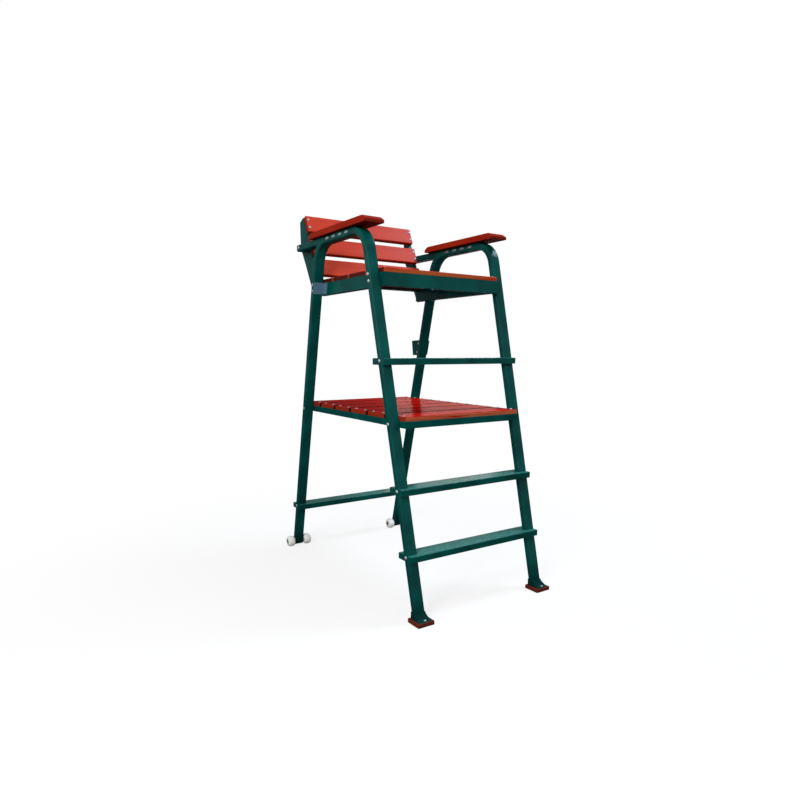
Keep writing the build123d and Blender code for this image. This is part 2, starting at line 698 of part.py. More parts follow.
def back_plate(side):
    """Folded side plate that carries the back slats on its flange."""
    top_front = back_point(back_reach, 0)
    top_rear = back_point(back_reach, PLATE_TOP_DEPTH)
    slat_foot = back_point(-back_reach, 0)
    foot_top = SEAT_RAIL_BOTTOM + PLATE_FOOT_RISE
    foot_front = rear_leg(SEAT_RAIL_BOTTOM)[0]
    outer = side * INNER_HALF
    with BuildPart() as plate:
        with BuildSketch(Plane.YZ.offset(outer)):
            Polygon(
                top_front,
                slat_foot,
                (rear_leg(foot_top)[0], foot_top),
                (foot_front, SEAT_RAIL_BOTTOM),
                (foot_front + PLATE_FOOT_REAR, SEAT_RAIL_BOTTOM),
                (PLATE_WAIST_Y, PLATE_WAIST_Z),
                (top_rear[0], top_rear[1] - PLATE_REAR_DROP),
                top_rear,
                align=None,
            )
            with Locations(tail_bolt(), *seat_bolts()[len(SEAT_BOLT_HEIGHTS):]):
                Circle(FRAME_BOLT / 2 + HOLE_CLEARANCE, mode=Mode.SUBTRACT)
        extrude(amount=-side * PLATE_THICKNESS)
        with BuildSketch(back_seat):
            with Locations((side * (INNER_HALF - PLATE_FLANGE / 2), 0)):
                Rectangle(PLATE_FLANGE, 2 * back_reach)
            for plane in back_planes.values():
                along = back_seat.to_local_coords(plane.origin).Y
                with Locations((side * back_bolt_x, along)):
                    with GridLocations(0, BACK_BOLT_SPREAD, 1, 2):
                        Circle(SLAT_SCREW / 2 + HOLE_CLEARANCE, mode=Mode.SUBTRACT)
        extrude(amount=-PLATE_THICKNESS)
    return plate


# --- Front feet -------------------------------------------------------------------------------------------

pad_y = middle(front_leg(PAD_THICKNESS)) - PAD_FORWARD
collar_top = PAD_THICKNESS + COLLAR_HEIGHT
foot_bolt_y = pad_y - FOOT_BOLT_FORWARD
foot_bolt_z = PAD_THICKNESS + FOOT_BOLT_SEAT


def foot_pad(side):
    """Square pad under a front leg."""
    with BuildPart() as pad:
        with BuildSketch(Plane.XY):
            with Locations((side * FRAME_CENTRE, pad_y)):
                RectangleRounded(PAD_SIZE, PAD_SIZE, PAD_CORNER)
        extrude(amount=PAD_THICKNESS)
        fillet(pad.faces().sort_by(Axis.Z)[-1].edges(), SLAT_UNDER_EDGE)
        with BuildSketch(Plane.XY.offset(PAD_THICKNESS)):
            with Locations((side * FRAME_CENTRE, foot_bolt_y)):
                Circle(SLAT_SCREW / 2)
        extrude(amount=-PAD_THICKNESS / 2, mode=Mode.SUBTRACT)
    return pad


def foot_collar(side):
    """Flared collar that spreads a front leg onto its pad."""
    x = side * FRAME_CENTRE
    rim_width = TUBE_WIDTH + 2 * COLLAR_RIM
    rim_depth = FRONT_RUN + 2 * COLLAR_RIM
    with BuildPart() as collar:
        with BuildSketch(Plane.XY.offset(PAD_THICKNESS)):
            with Locations((x, pad_y)):
                RectangleRounded(COLLAR_BASE, COLLAR_BASE, COLLAR_CORNER)
        with BuildSketch(Plane.XY.offset(collar_top)):
            with Locations((x, middle(front_leg(collar_top)))):
                RectangleRounded(rim_width, rim_depth, COLLAR_CORNER)
        loft()
        with BuildSketch(Plane.YZ.offset(x)):
            Polygon(*leg_band(front_leg, PAD_THICKNESS, collar_top, COLLAR_CLEARANCE), align=None)
        extrude(amount=TUBE_WIDTH / 2 + COLLAR_CLEARANCE, both=True, mode=Mode.SUBTRACT)
        with BuildSketch(Plane.XY.offset(foot_bolt_z)):
            with Locations((x, foot_bolt_y)):
                Circle(SLAT_SCREW_HEAD / 2 + HOLE_CLEARANCE)
        extrude(amount=COLLAR_HEIGHT, mode=Mode.SUBTRACT)
        with BuildSketch(Plane.XY.offset(PAD_THICKNESS)):
            with Locations((x, foot_bolt_y)):
                Circle(SLAT_SCREW / 2 + HOLE_CLEARANCE)
        extrude(amount=COLLAR_HEIGHT, mode=Mode.SUBTRACT)
    return collar


def foot_bolts():
    """Bolts through the collars into the pads."""
    length = FOOT_BOLT_SEAT + PAD_THICKNESS / 2
    bolt = dome_fastener(SLAT_SCREW, SLAT_SCREW_HEAD, SLAT_SCREW_DOME, length)
    return fastener_group(
        [(bolt, [Plane(origin=(side * FRAME_CENTRE, foot_bolt_y, foot_bolt_z)) for side in SIDES.values()])]
    )


# --- Rollers ----------------------------------------------------------------------------------------------


def axle_y():
    """Axle centre, in front of the rear leg's centre line."""
    return middle(rear_leg(AXLE_Z)) - AXLE_FORWARD


roller_reach = TUBE_WIDTH / 2 + ROLLER_GAP + ROLLER_WIDTH
axle_reach = roller_reach - ROLLER_RECESS_DEPTH + RUNNING_GAP + AXLE_CAP_THICKNESS / 2
cap_seat = roller_reach - ROLLER_RECESS_DEPTH + RUNNING_GAP


def roller_plane(side, away):
    """Plane on the leg's centre at the axle, facing away from or towards the outside."""
    facing = side * away
    return Plane(origin=(side * FRAME_CENTRE, axle_y(), AXLE_Z), x_dir=(0, facing, 0), z_dir=(facing, 0, 0))


def wheel_axle(side):
    """Axle through a rear leg."""
    with BuildPart() as axle:
        with BuildSketch(roller_plane(side, 1)):
            Circle(AXLE_DIAMETER / 2)
        extrude(amount=axle_reach, both=True)
    return axle


def roller(side, away):
    """Barrel roller with rounded ends and a recess for the axle cap."""
    base = roller_plane(side, away).offset(TUBE_WIDTH / 2 + ROLLER_GAP)
    with BuildPart() as barrel:
        with BuildSketch(base):
            Circle(ROLLER_DIAMETER / 2)
        extrude(amount=ROLLER_WIDTH)
        fillet(barrel.edges().filter_by(GeomType.CIRCLE), ROLLER_END_RADIUS)
        with BuildSketch(base.offset(ROLLER_WIDTH)):
            Circle(ROLLER_RECESS_DIAMETER / 2)
        extrude(amount=-ROLLER_RECESS_DEPTH, mode=Mode.SUBTRACT)
        with BuildSketch(base):
            Circle(AXLE_DIAMETER / 2 + AXLE_CLEARANCE)
        extrude(amount=ROLLER_WIDTH, mode=Mode.SUBTRACT)
    return barrel


def axle_washers():
    """Washers on the axles between the legs and the rollers."""
    with BuildPart() as washers:
        for side in SIDES.values():
            for away in (-1, 1):
                with BuildSketch(roller_plane(side, away).offset(TUBE_WIDTH / 2)):
                    Circle(WASHER_DIAMETER / 2)
                    Circle(AXLE_DIAMETER / 2 + AXLE_CLEARANCE, mode=Mode.SUBTRACT)
                extrude(amount=ROLLER_GAP - RUNNING_GAP)
    return washers


def axle_caps():
    """Push-on caps that keep the rollers on their axles."""
    with BuildPart() as caps:
        for side in SIDES.values():
            for away in (-1, 1):
                seat = roller_plane(side, away).offset(cap_seat)
                with BuildSketch(seat):
                    Circle(AXLE_CAP_DIAMETER / 2)
                extrude(amount=AXLE_CAP_THICKNESS)
                with BuildSketch(seat):
                    Circle(AXLE_DIAMETER / 2 + AXLE_CLEARANCE)
                extrude(amount=AXLE_CAP_THICKNESS / 2, mode=Mode.SUBTRACT)
    return caps


# --- Umbrella pole bracket ----------------------------------------------------------------------------------

socket_bottom = SOCKET_TOP - SOCKET_HEIGHT
socket_radius = TUBE_WIDTH / 2 + SOCKET_LET_IN
socket_tilt = radians(SOCKET_LEAN)


def socket_axis_y(height):
    """y of the pole's axis at a height."""
    foot = rear_leg(socket_bottom)[1] + SOCKET_CLEARANCE + socket_radius / cos(socket_tilt)
    return foot + (height - socket_bottom) * tan(socket_tilt)


def socket_plane(along):
    """Plane square to the pole, a distance up its axis from the middle of the socket."""
    height = socket_bottom + SOCKET_HEIGHT / 2
    centre = (SIDES["left"] * FRAME_CENTRE, socket_axis_y(height), height)
    return Plane(origin=centre, x_dir=(1, 0, 0), z_dir=(0, sin(socket_tilt), cos(socket_tilt))).offset(along)


def umbrella_socket():
    """Pole socket between two cheeks bolted to the left rear leg."""
    side = SIDES["left"]
    low_front = rear_leg(socket_bottom)[0]
    high_front = rear_leg(SOCKET_TOP)[0]
    with BuildPart() as socket:
        with BuildSketch(socket_plane(0)):
            Circle(socket_radius)
        extrude(amount=SOCKET_HEIGHT / 2, both=True)
        for face in (INNER_HALF - CHEEK_THICKNESS, OUTER_HALF):
            with BuildSketch(Plane.YZ.offset(side * face)):
                Polygon(
                    (low_front, socket_bottom),
                    (socket_axis_y(socket_bottom), socket_bottom),
                    (socket_axis_y(SOCKET_TOP), SOCKET_TOP),
                    (high_front, SOCKET_TOP),
                    align=None,
                )
                with Locations(*socket_bolts()):
                    Circle(FRAME_BOLT / 2 + HOLE_CLEARANCE, mode=Mode.SUBTRACT)
            extrude(amount=side * CHEEK_THICKNESS)
        with BuildSketch(socket_plane(SOCKET_HEIGHT / 2)):
            Circle(SOCKET_BORE / 2)
        extrude(amount=SOCKET_FLOOR - SOCKET_HEIGHT, mode=Mode.SUBTRACT)
    return socket


# --- Make and write every piece --------------------------------------------------------------------------------

seat_rail_size = (SEAT_RAIL_WIDTH, SEAT_RAIL_BOTTOM, SEAT_RAIL_HEIGHT)
deck_rail_size = (DECK_RAIL_WIDTH, deck_rail_bottom, DECK_RAIL_HEIGHT)

for name, side in SIDES.items():
    save(side_frame(side), f"side_frame_{name}")
    save(arm_tail(side), f"arm_tail_{name}")
    save(armrest(side), f"armrest_{name}")
    save(back_plate(side), f"back_plate_{name}")
    save(foot_pad(side), f"foot_pad_{name}")
    save(foot_collar(side), f"foot_collar_{name}")
    save(wheel_axle(side), f"wheel_axle_{name}")
    save(roller(side, 1), f"roller_{name}_outer")
    save(roller(side, -1), f"roller_{name}_inner")
    save(seat_cleat(side), f"seat_cleat_{name}")

    seat_screws = rail_points(seat_screw_planes, side)
    seat_tube = side_rail(
        side, SEAT_RAIL_HALF, seat_front, seat_rear, 0, *seat_rail_size, seat_bolts(), seat_screws
    )
    save(seat_tube, f"seat_side_rail_{name}")

    deck_screws = rail_points(deck_screw_planes, side)
    deck_tube = side_rail(
        side, INNER_HALF, deck_front, deck_rear, DECK_RAIL_WIDTH, *deck_rail_size, deck_bolts(), deck_screws
    )
    save(deck_tube, f"deck_side_rail_{name}")

for name, top in TREAD_TOPS.items():
    save(tread(top, front_leg), name)
save(tread(CROSSBAR_TOP, rear_leg), "rear_crossbar")

save(cross_rail(INNER_HALF, deck_front, 1, *deck_rail_size), "deck_front_rail")
save(cross_rail(INNER_HALF, deck_rear, -1, *deck_rail_size), "deck_rear_rail")
for number, plane in enumerate(deck_planes, start=1):
    deck_slat = slat(
        plane, deck_slat_length, deck_slat_width, DECK_SLAT_THICKNESS, deck_screw_x, DECK_SCREW_SPREAD
    )
    save(deck_slat, f"deck_slat_{number}")

under_bolt_point = (SEAT_UNDER_BOLT_X, seat_front + SEAT_RAIL_WIDTH / 2)
seat_front_drilling = (Plane.XY.offset(SEAT_RAIL_BOTTOM), [under_bolt_point], SLAT_SCREW)
seat_front_rail = cross_rail(SEAT_RAIL_HALF, seat_front, 1, *seat_rail_size, drillings=[seat_front_drilling])
save(seat_front_rail, "seat_front_rail")
save(seat_rear_bar(), "seat_rear_bar")
seat_plug_spots = [(side * seat_screw_x, SEAT_RAIL_TOP - SEAT_RAIL_HEIGHT / 2) for side in SIDES.values()]
seat_plugs = tube_plugs(seat_plug_spots, seat_rear, SEAT_RAIL_WIDTH, SEAT_RAIL_HEIGHT, RAIL_WALL, RAIL_CORNER)
save(seat_plugs, "seat_rail_plugs")
tail_plug_spots = [(side * FRAME_CENTRE, ARM_CENTRE) for side in SIDES.values()]
tail_plugs = tube_plugs(tail_plug_spots, tail_rear(), TUBE_WIDTH, TUBE_DEPTH, TUBE_WALL, TUBE_CORNER)
save(tail_plugs, "arm_tail_plugs")
save(seat_spacers(), "seat_spacers")
for number, plane in enumerate(seat_planes, start=1):
    seat_slat = slat(
        plane, seat_slat_length, seat_slat_width, SEAT_SLAT_THICKNESS, seat_screw_x, SEAT_SCREW_SPREAD
    )
    save(seat_slat, f"seat_slat_{number}")

for name, plane in back_planes.items():
    back_slat = slat(
        plane, back_slat_length, BACK_SLAT_HEIGHT, BACK_SLAT_THICKNESS, back_bolt_x, BACK_BOLT_SPREAD
    )
    save(back_slat, f"back_slat_{name}")

save(umbrella_socket(), "umbrella_socket")
save(axle_washers(), "axle_washers")
save(axle_caps(), "axle_caps")
save(foot_bolts(), "foot_bolts")
save(armrest_screws(), "armrest_screws")

# Frame bolts, one group for each side. Their grips are what lies between head and nut.
for name, side in SIDES.items():
    grips = {
        TREAD_SHEET: tread_bolts(),
        RAIL_WALL: deck_bolts(),
        PLATE_THICKNESS + RAIL_WALL: seat_bolts(),
        PLATE_THICKNESS: [tail_bolt()],
    }
    groups = [
        (frame_bolt(TUBE_WIDTH + carried), [outward(side, OUTER_HALF, *spot) for spot in spots])
        for carried, spots in grips.items()
    ]
    save(fastener_group(groups), f"frame_bolts_{name}")

bracket_bolt = frame_bolt(TUBE_WIDTH + 2 * CHEEK_THICKNESS)
bracket_planes = [outward(SIDES["left"], OUTER_HALF + CHEEK_THICKNESS, *spot) for spot in socket_bolts()]
save(fastener_group([(bracket_bolt, bracket_planes)]), "bracket_bolts")

deck_grip = DECK_SLAT_THICKNESS + RAIL_WALL
deck_screw = dome_fastener(
    SLAT_SCREW,
    SLAT_SCREW_HEAD,
    SLAT_SCREW_DOME,
    nutted_length(deck_grip, SLAT_NUT_HEIGHT),
    SLAT_NUT,
    SLAT_NUT_HEIGHT,
)
save(fastener_group([(deck_screw, deck_screw_planes)]), "deck_screws")

seat_grip = SEAT_SLAT_THICKNESS + RAIL_WALL
seat_screw = dome_fastener(
    SLAT_SCREW,
    SLAT_SCREW_HEAD,
    SLAT_SCREW_DOME,
    nutted_length(seat_grip, SLAT_NUT_HEIGHT),
    SLAT_NUT,
    SLAT_NUT_HEIGHT,
)
save(fastener_group([(seat_screw, seat_screw_planes)]), "seat_screws")

back_grip = BACK_SLAT_THICKNESS + PLATE_THICKNESS
back_bolt = dome_fastener(
    SLAT_SCREW,
    SLAT_SCREW_HEAD,
    SLAT_SCREW_DOME,
    nutted_length(back_grip, SLAT_NUT_HEIGHT),
    SLAT_NUT,
    SLAT_NUT_HEIGHT,
)
back_bolt_planes = screw_planes(back_planes.values(), BACK_SLAT_THICKNESS, back_bolt_x, BACK_BOLT_SPREAD)
save(fastener_group([(back_bolt, back_bolt_planes)]), "back_bolts")

under_bolt = dome_fastener(
    SLAT_SCREW,
    SLAT_SCREW_HEAD,
    SLAT_SCREW_DOME,
    nutted_length(RAIL_WALL, SLAT_NUT_HEIGHT),
    SLAT_NUT,
    SLAT_NUT_HEIGHT,
)
under_bolt_plane = Plane(origin=(*under_bolt_point, SEAT_RAIL_BOTTOM), z_dir=(0, 0, -1))
save(fastener_group([(under_bolt, [under_bolt_plane])]), "seat_under_bolt")
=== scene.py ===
import json
import logging
import math
from collections.abc import Callable
from dataclasses import dataclass, field
from enum import Enum

import bpy
from bpy.types import Material, MeshEdge, Node, NodeSocket, NodeTree, Object
from mathutils import Matrix, Vector


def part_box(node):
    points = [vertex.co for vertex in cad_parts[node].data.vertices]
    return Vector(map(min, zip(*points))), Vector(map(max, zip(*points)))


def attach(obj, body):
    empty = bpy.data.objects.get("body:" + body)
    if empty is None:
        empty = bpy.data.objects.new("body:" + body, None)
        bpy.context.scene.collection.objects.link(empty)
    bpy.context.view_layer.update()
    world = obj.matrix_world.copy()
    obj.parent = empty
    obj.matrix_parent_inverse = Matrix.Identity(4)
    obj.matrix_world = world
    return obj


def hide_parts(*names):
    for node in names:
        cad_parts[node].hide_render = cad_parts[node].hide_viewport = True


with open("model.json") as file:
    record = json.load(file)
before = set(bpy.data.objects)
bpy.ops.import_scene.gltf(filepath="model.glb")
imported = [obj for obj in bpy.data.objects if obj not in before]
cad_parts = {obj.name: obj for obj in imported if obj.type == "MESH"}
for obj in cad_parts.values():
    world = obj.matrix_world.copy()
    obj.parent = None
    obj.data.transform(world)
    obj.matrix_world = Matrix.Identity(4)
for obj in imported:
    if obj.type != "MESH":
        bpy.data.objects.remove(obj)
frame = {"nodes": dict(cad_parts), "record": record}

# Tennis umpire chair, dressed for the studio. Lengths are in metres unless a name ends in _mm.

log = logging.getLogger("umpire_chair")
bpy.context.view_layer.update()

# Share of a radius that counts as all of it, and the gap in metres that counts as none.
NEARLY = 0.98
LEVEL = 1e-4
# New pieces, each with its slot and the body that it moves with.
Made = list[tuple[Object, str, str]]


class Side(Enum):
    """Side of the chair, from the sitter."""

    RIGHT = -1
    LEFT = 1

    @property
    def label(self) -> str:
        """The side as names of pieces spell it."""
        return self.name.lower()


class Axis(Enum):
    """Direction in which a board or slat runs."""

    ACROSS = 0
    ALONG = 1


class Facing(Enum):
    """Direction that a face of a board or slat looks in."""

    FRONT = (0.0, -1.0, 0.0)
    DOWN = (0.0, 0.0, -1.0)


# --- Small helpers ---


def metres(millimetres: float) -> float:
    """Turn millimetres into metres."""
    return millimetres / 1000


def point(*place_mm: float) -> Vector:
    """Turn a place in millimetres into metres."""
    return Vector(place_mm) / 1000


def per_metre(size_mm: float) -> float:
    """Scale of a pattern whose grains are a given size.

    Args:
        size_mm: size of one grain in millimetres.

    Returns:
        Texture scale for Object coordinates in metres.
    """
    return 1000 / size_mm


def linear(hex_code: str) -> tuple[float, float, float, float]:
    """Turn an sRGB hex colour into linear RGBA.

    Args:
        hex_code: six hex digits after a hash.

    Returns:
        Linear red, green and blue, and an alpha of one.
    """
    channels = [int(hex_code[i:i + 2], 16) / 255 for i in (1, 3, 5)]
    red, green, blue = (
        c / 12.92 if c <= 0.04045 else ((c + 0.055) / 1.055) ** 2.4 for c in channels
    )
    return red, green, blue, 1.0


def wire(tree: NodeTree, node: Node, links: dict, **settings) -> None:
    """Set a node's properties and inputs, and link its inputs.

    Args:
        tree: node tree that holds the node.
        node: node to set.
        links: input names or numbers, each with the socket that feeds it, or with the node
            whose first output in use does.
        settings: properties of the node, or input values named with underscores for spaces;
            hex colours are turned linear.
    """
    for key, value in settings.items():
        if isinstance(value, str) and value.startswith("#"):
            value = linear(value)
        if hasattr(node, key):
            setattr(node, key, value)
        else:
            socket = int(key[3:]) if key.startswith("in_") else key.replace("_", " ")
            node.inputs[socket].default_value = value
    for key, source in links.items():
        if isinstance(source, Node):
            source = next(output for output in source.outputs if output.enabled)
        tree.links.new(source, node.inputs[key])


def add_node(tree: NodeTree, kind: str, links: dict | None = None, **settings) -> Node:
    """Add a node, set it and link its inputs.

    Args:
        tree: node tree that gets the node.
        kind: node type without its ShaderNode prefix, such as TexNoise.
        links: what feeds its inputs, as for wire.
        settings: its properties and input values, as for wire.

    Returns:
        The new node.
    """
    node = tree.nodes.new(f"ShaderNode{kind}")
    wire(tree, node, links or {}, **settings)
    return node


def deselect() -> None:
    """Leave object mode with nothing selected."""
    if bpy.context.object and bpy.context.object.mode != "OBJECT":
        bpy.ops.object.mode_set(mode="OBJECT")
    bpy.ops.object.select_all(action="DESELECT")


def only(piece: Object) -> None:
    """Make one piece the selected and active object."""
    deselect()
    piece.select_set(True)
    bpy.context.view_layer.objects.active = piece


def apply_modifier(piece: Object, kind: str, **settings) -> None:
    """Add a modifier with its settings and apply it.

    Args:
        piece: object that is shaped.
        kind: modifier type, such as ARRAY.
        settings: properties of the modifier.
    """
    only(piece)
    modifier = piece.modifiers.new(kind.lower(), kind)
    for key, value in settings.items():
        setattr(modifier, key, value)
    bpy.ops.object.modifier_apply(modifier=modifier.name)


def settle(piece: Object, place: Matrix) -> None:
    """Put a piece in its place, with the place in its mesh.

    Args:
        piece: object modelled at the origin.
        place: where it goes in the chair's frame.
    """
    only(piece)
    piece.matrix_world = place
    bpy.ops.object.transform_apply(location=True, rotation=True, scale=True)


def outward_faces(piece: Object) -> None:
    """Turn all of a closed piece's faces outwards."""
    only(piece)
    bpy.ops.object.mode_set(mode="EDIT")
    bpy.ops.mesh.select_all(action="SELECT")
    bpy.ops.mesh.remove_doubles(threshold=1e-6)
    bpy.ops.mesh.normals_make_consistent(inside=False)
    bpy.ops.object.mode_set(mode="OBJECT")


def pick(piece: Object, kind: str, test: Callable[..., bool]) -> None:
    """Go to edit mode with just those parts of a mesh selected that pass a test.

    Args:
        piece: the active object.
        kind: VERT, EDGE or FACE.
        test: says whether one vertex, edge or face is picked.
    """
    bpy.ops.object.mode_set(mode="OBJECT")
    mesh = piece.data
    parts = {"VERT": mesh.vertices, "EDGE": mesh.edges, "FACE": mesh.polygons}
    for item in (*mesh.vertices, *mesh.edges, *mesh.polygons):
        item.select = False
    for item in parts[kind]:
        item.select = test(item)
    bpy.context.tool_settings.mesh_select_mode = [kind == name for name in parts]
    bpy.ops.object.mode_set(mode="EDIT")


def push(way: Vector | tuple[float, float, float]) -> None:
    """Extrude what is picked."""
    bpy.ops.mesh.extrude_region_move(TRANSFORM_OT_translate={"value": way})


def stretch(piece: Object, scale: tuple[float, float, float]) -> None:
    """Stretch or flatten a piece's mesh about its middle."""
    only(piece)
    bpy.ops.object.mode_set(mode="EDIT")
    bpy.ops.mesh.select_all(action="SELECT")
    bpy.ops.transform.resize(value=scale)
    bpy.ops.object.mode_set(mode="OBJECT")


def section(name: str, size_mm: tuple[float, float], corner_mm: float, segments: int) -> Object:
    """Draw a rounded rectangle about the origin, to be pushed along a path.

    Args:
        name: name of the piece.
        size_mm: its width and depth.
        corner_mm: radius of its corners.
        segments: number of steps in each corner.

    Returns:
        The flat piece.
    """
    deselect()
    bpy.ops.mesh.primitive_plane_add(size=1.0)
    piece = bpy.context.object
    piece.name = name
    stretch(piece, (metres(size_mm[0]), metres(size_mm[1]), 1.0))
    bpy.ops.object.mode_set(mode="EDIT")
    bpy.ops.mesh.bevel(offset=metres(corner_mm), segments=segments, affect="VERTICES")
    bpy.ops.object.mode_set(mode="OBJECT")
    return piece


def smooth(piece: Object, angle_deg: float) -> None:
    """Shade a piece smooth wherever its faces meet at less than an angle."""
    only(piece)
    bpy.ops.object.shade_smooth_by_angle(angle=math.radians(angle_deg))


def corners(node: str) -> tuple[Vector, Vector]:
    """Lowest and highest corner of a CAD node's box."""
    low, high = (Vector(corner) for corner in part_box(node))
    return low, high


def dress(piece: Object, material: Material) -> None:
    """Give a piece one finish all over."""
    if not piece.material_slots:
        piece.data.materials.append(material)
    for slot in piece.material_slots:
        slot.material = material


# --- Finishes ---


@dataclass(frozen=True)
class Finish:
    """What every finish shares: its name and a fresh material."""

    name: str

    def start(self) -> tuple[Material, NodeTree, Node, NodeSocket]:
        """Make the material.

        Returns:
            The material, its node tree, its shader and the Object coordinates.
        """
        material = bpy.data.materials.new(self.name)
        material.use_nodes = True
        tree = material.node_tree
        place = add_node(tree, "TexCoord").outputs["Object"]
        return material, tree, tree.nodes["Principled BSDF"], place


@dataclass(frozen=True)
class GlossEnamel(Finish):
    """Sprayed enamel on steel: deep colour, faint orange peel, worn grit with painted top light on
    the treads, and a foot darkened by mud and painted shade.
    """

    deep: str
    full: str
    grit: str
    grit_share: float
    # Darker tone at the foot of the legs: mud and painted shade.
    mud: str
    mud_mm: float = 30.0
    dry_mm: float = 60.0
    splash_mm: float = 130.0
    trodden_mm: float = 1250.0
    coat: float = 0.12
    peel_mm: float = 5.0
    peel_depth_mm: float = 0.025
    cloud_mm: float = 130.0
    grit_mm: float = 7.0

    def build(self) -> Material:
        """Make the material."""
        material, tree, shader, place = self.start()
        # Paint thickness wanders over a hand's breadth, so the green is never quite even.
        cloud = add_node(
            tree, "TexNoise", {"Vector": place}, Scale=per_metre(self.cloud_mm), Detail=3.0
        )
        patch = add_node(tree, "MapRange", {"Value": cloud}, From_Min=0.35, From_Max=0.65)
        paint = add_node(
            tree, "Mix", {"Factor": patch}, data_type="RGBA", in_6=self.deep, in_7=self.full
        )
        # The treads' tops carry dust and scuffed grit, drawn coarser than real so that it shows;
        # its pale colour on up-facing faces also paints the light that the tops catch from above.
        normal = add_node(tree, "TexCoord").outputs["Normal"]
        up = add_node(tree, "SeparateXYZ", {"Vector": normal}).outputs["Z"]
        level = add_node(tree, "MapRange", {"Value": up}, From_Min=0.85, From_Max=0.98)
        grain = add_node(
            tree, "TexNoise", {"Vector": place}, Scale=per_metre(self.grit_mm),
            Detail=4.0, Roughness=0.7,
        )
        speck = add_node(
            tree, "MapRange", {"Value": grain}, From_Min=0.32, From_Max=0.66, To_Max=self.grit_share
        )
        height = add_node(tree, "SeparateXYZ", {"Vector": place}).outputs["Z"]
        low = add_node(
            tree, "Math", {0: height}, operation="LESS_THAN", in_1=metres(self.trodden_mm)
        )
        flat = add_node(tree, "Math", {0: speck, 1: level}, operation="MULTIPLY")
        scuff_and_top_light = add_node(tree, "Math", {0: flat, 1: low}, operation="MULTIPLY")
        worn_and_top_lit = add_node(tree, "Mix", {"Factor": scuff_and_top_light, 6: paint}, data_type="RGBA", in_7=self.grit)
        # The lowest hand's breadth of the legs and collars is painted darker, partly mud splashes
        # and partly painted shade for the collars' shaded flares.
        mud_and_shade_share = add_node(
            tree, "MapRange", {"Value": height},
            From_Min=metres(self.splash_mm), From_Max=metres(self.mud_mm), To_Max=0.75,
        )
        mud_and_shade_toned = add_node(tree, "Mix", {"Factor": mud_and_shade_share, 6: worn_and_top_lit}, data_type="RGBA", in_7=self.mud)
        # Orange peel breaks up the lamps' reflections.
        rough = add_node(
            tree, "MapRange", {"Value": cloud}, From_Min=0.3, From_Max=0.7, To_Min=0.34, To_Max=0.46
        )
        peel = add_node(
            tree, "TexNoise", {"Vector": place}, Scale=per_metre(self.peel_mm), Detail=1.0
        )
        bump = add_node(tree, "Bump", {"Height": peel}, Distance=metres(self.peel_depth_mm))
        # A clear top layer gives sharp highlights over a dark body, and mud dulls it.
        gloss = add_node(
            tree, "MapRange", {"Value": height},
            From_Min=metres(self.dry_mm), From_Max=metres(self.splash_mm), To_Max=self.coat,
        )
        links = {"Base Color": mud_and_shade_toned, "Roughness": rough, "Normal": bump, "Coat Weight": gloss}
        wire(tree, shader, links, Specular_IOR_Level=0.0, Coat_Roughness=0.2)
        return material


@dataclass(frozen=True)
class Seam:
    """Painted shade: a dark band along both edges of every slat in a run, for the shade in the
    gaps.
    """

    first_mm: float
    pitch_mm: float
    width_mm: float
    colour: str


@dataclass(frozen=True)
class Fade:
    """Second tone that takes over towards the foot of an upright group, painted light where the
    chair's own shadow falls on it.
    """

    foot_mm: float
    head_mm: float
    colour: str


